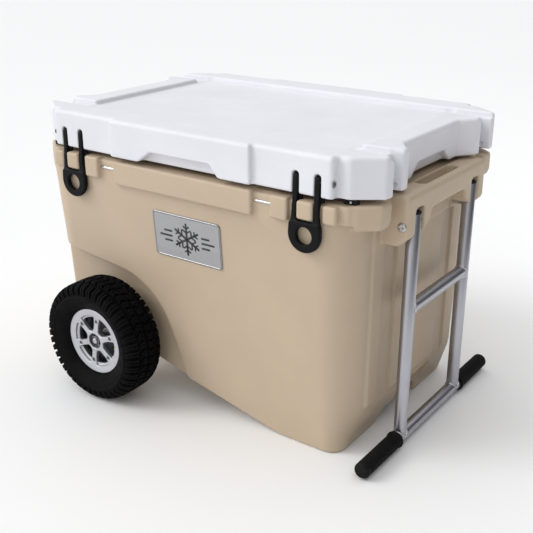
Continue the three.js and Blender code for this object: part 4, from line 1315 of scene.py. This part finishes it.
def add_handle():
    fit(coped_cross("cross_tube_round"), "handle", "cross_aluminium", "handle_cross_tube")
    reach = GRIP_END - 4.5
    profile = [(TUBE_RADIUS, -reach, 0.6), (TUBE_RADIUS, reach, 0.6), (TUBE_BORE, reach, 0.6),
               (TUBE_BORE, -reach, 0.6)]
    grip_tube = lathe("grip_tube_round", profile, (LEG_X, 0, GRIP_Z), (0, 1, 0), 64, closed=True)
    fit(grip_tube, "handle", "cross_aluminium", "handle_grip_tube")
    cap_profile = [(TUBE_BORE - 0.3, 413, 0.8), (TUBE_BORE - 0.3, 418.2), (TUBE_RADIUS, 418.3, 0.4),
                   (TUBE_RADIUS, 421, 1.4)]
    for side_name, side in SIDES:
        leg = coped_leg(f"leg_{side_name}_round", side)
        fit(leg, "handle", "handle_aluminium", f"handle_leg_{side_name}")
        fit(weld_bead(f"leg_weld_{side_name}", leg_weld(side), 2.2), "handle", "weld_metal")
        fit(weld_bead(f"cross_weld_{side_name}", cross_weld(side), 2.0), "handle", "weld_metal")
        cap = lathe(f"leg_cap_{side_name}", cap_profile, (LEG_X, side * LEG_Y, 0), (0, 0, 1))
        fit(cap, "handle", "black_plastic", f"leg_plug_{side_name}")
        fit(make_grip(f"grip_{side_name}_ribbed", side), "handle", "grip_rubber", f"grip_{side_name}")


def add_wheel(side_name, side):
    body = f"wheel_{side_name}"
    fit(make_tyre(f"tyre_{side_name}_tread", side), body, "tyre_rubber", f"tyre_{side_name}")
    fit(make_rim(f"rim_{side_name}_spokes", side), body, "rim_paint", f"rim_outer_{side_name}")
    # the inner dish's near-black finish is partly its dark paint and partly painted shade
    fit(make_rim_inner(f"rim_{side_name}_dish", side), body, "rim_dark_paint_and_shade", f"rim_inner_{side_name}")
    for spoke, angle in enumerate(spoke_angles()):
        seat = (AXLE_X + BOLT_CIRCLE * math.cos(angle), side * (TYRE_MIDDLE + 20.4),
                AXLE_Z + BOLT_CIRCLE * math.sin(angle))
        fit(socket_bolt(f"rim_bolt_{side_name}_{spoke}", seat, (0, side, 0), 3.2, 2.0), body, "bolt_steel")
    stem, boot, cap = make_valve(side_name, side)
    fit(stem, body, "brass")
    fit(boot, body, "black_plastic")
    fit(cap, body, "black_plastic")


def make_camera():
    x, y, z = 931.64, -1296.34, 844.28
    azimuth, elevation, roll = (math.radians(a) for a in (35.67, 21.63, 0.11))
    data = bpy.data.cameras.new("camera")
    data.lens = 59.55
    data.sensor_width = 36
    camera = new_object("camera", data)
    back = Vector((math.sin(azimuth) * math.cos(elevation), -math.cos(azimuth) * math.cos(elevation),
                   math.sin(elevation)))
    camera.rotation_mode = "QUATERNION"
    facing = (-back).to_track_quat("-Z", "Y")
    camera.rotation_quaternion = facing @ Matrix.Rotation(roll, 3, "Z").to_quaternion()
    camera.location = Vector((x * MM + MIDDLE_X, y * MM, z * MM))
    bpy.context.scene.camera = camera


def make_light(name, kind, power, direction):
    """A light that shines along the direction given."""
    data = bpy.data.lights.new(name, kind)
    data.energy = power
    light = new_object(name, data)
    light.rotation_mode = "QUATERNION"
    light.rotation_quaternion = Vector(direction).to_track_quat("-Z", "Y")
    return light


def make_world():
    """A studio that is bright towards the front left and dim at the far right."""
    world = bpy.data.worlds.new("studio")
    bpy.context.scene.world = world
    world.use_nodes = True
    tree = world.node_tree
    place = new_node(tree, "TexCoord", {}, {})
    bright_side = Vector((-0.62, -0.4, 0.68)).normalized()
    towards = new_node(tree, "VectorMath", {1: bright_side}, {0: place.outputs["Generated"]})
    towards.operation = "DOT_PRODUCT"
    values = {"From Min": -0.6, "From Max": 0.95, "To Min": 0.05, "To Max": 1.2}
    spread = new_node(tree, "MapRange", values, {"Value": towards.outputs["Value"]})
    spread.interpolation_type = "SMOOTHSTEP"
    background = tree.nodes["Background"]
    background.inputs["Color"].default_value = (0.985, 0.99, 1, 1)
    tree.links.new(spread.outputs["Result"], background.inputs["Strength"])


def make_stage():
    far = 20000
    floor = make_object("floor", [(-far, -far, 0), (far, -far, 0), (far, far, 0), (-far, far, 0)],
                        [(0, 1, 2, 3)], smooth=False)
    floor.data.materials.append(Nodes("floor_paint", (0.9, 0.9, 0.9), 0.9).material)
    make_world()
    sun = make_light("sun", "SUN", 0.95, (0.62, 0.5, -0.6))
    sun.data.angle = math.radians(25)
    place, target = Vector((0.9, 1.2, 2.6)), Vector((0, 0, 0.3))
    overhead = make_light("overhead", "AREA", 9, target - place)
    overhead.location = place
    overhead.data.shape = "RECTANGLE"
    overhead.data.size, overhead.data.size_y = 2.4, 1.6
    bpy.context.scene.view_settings.view_transform = "Standard"


add_tub()
add_pivots_and_axle()
add_lid()
add_handle()
for side_name, side in SIDES:
    add_wheel(side_name, side)
for node, finish in CAD_FINISHES.items():
    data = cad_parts[node].data
    data.materials.clear()
    data.materials.append(FINISHES[finish])
make_camera()
make_stage()
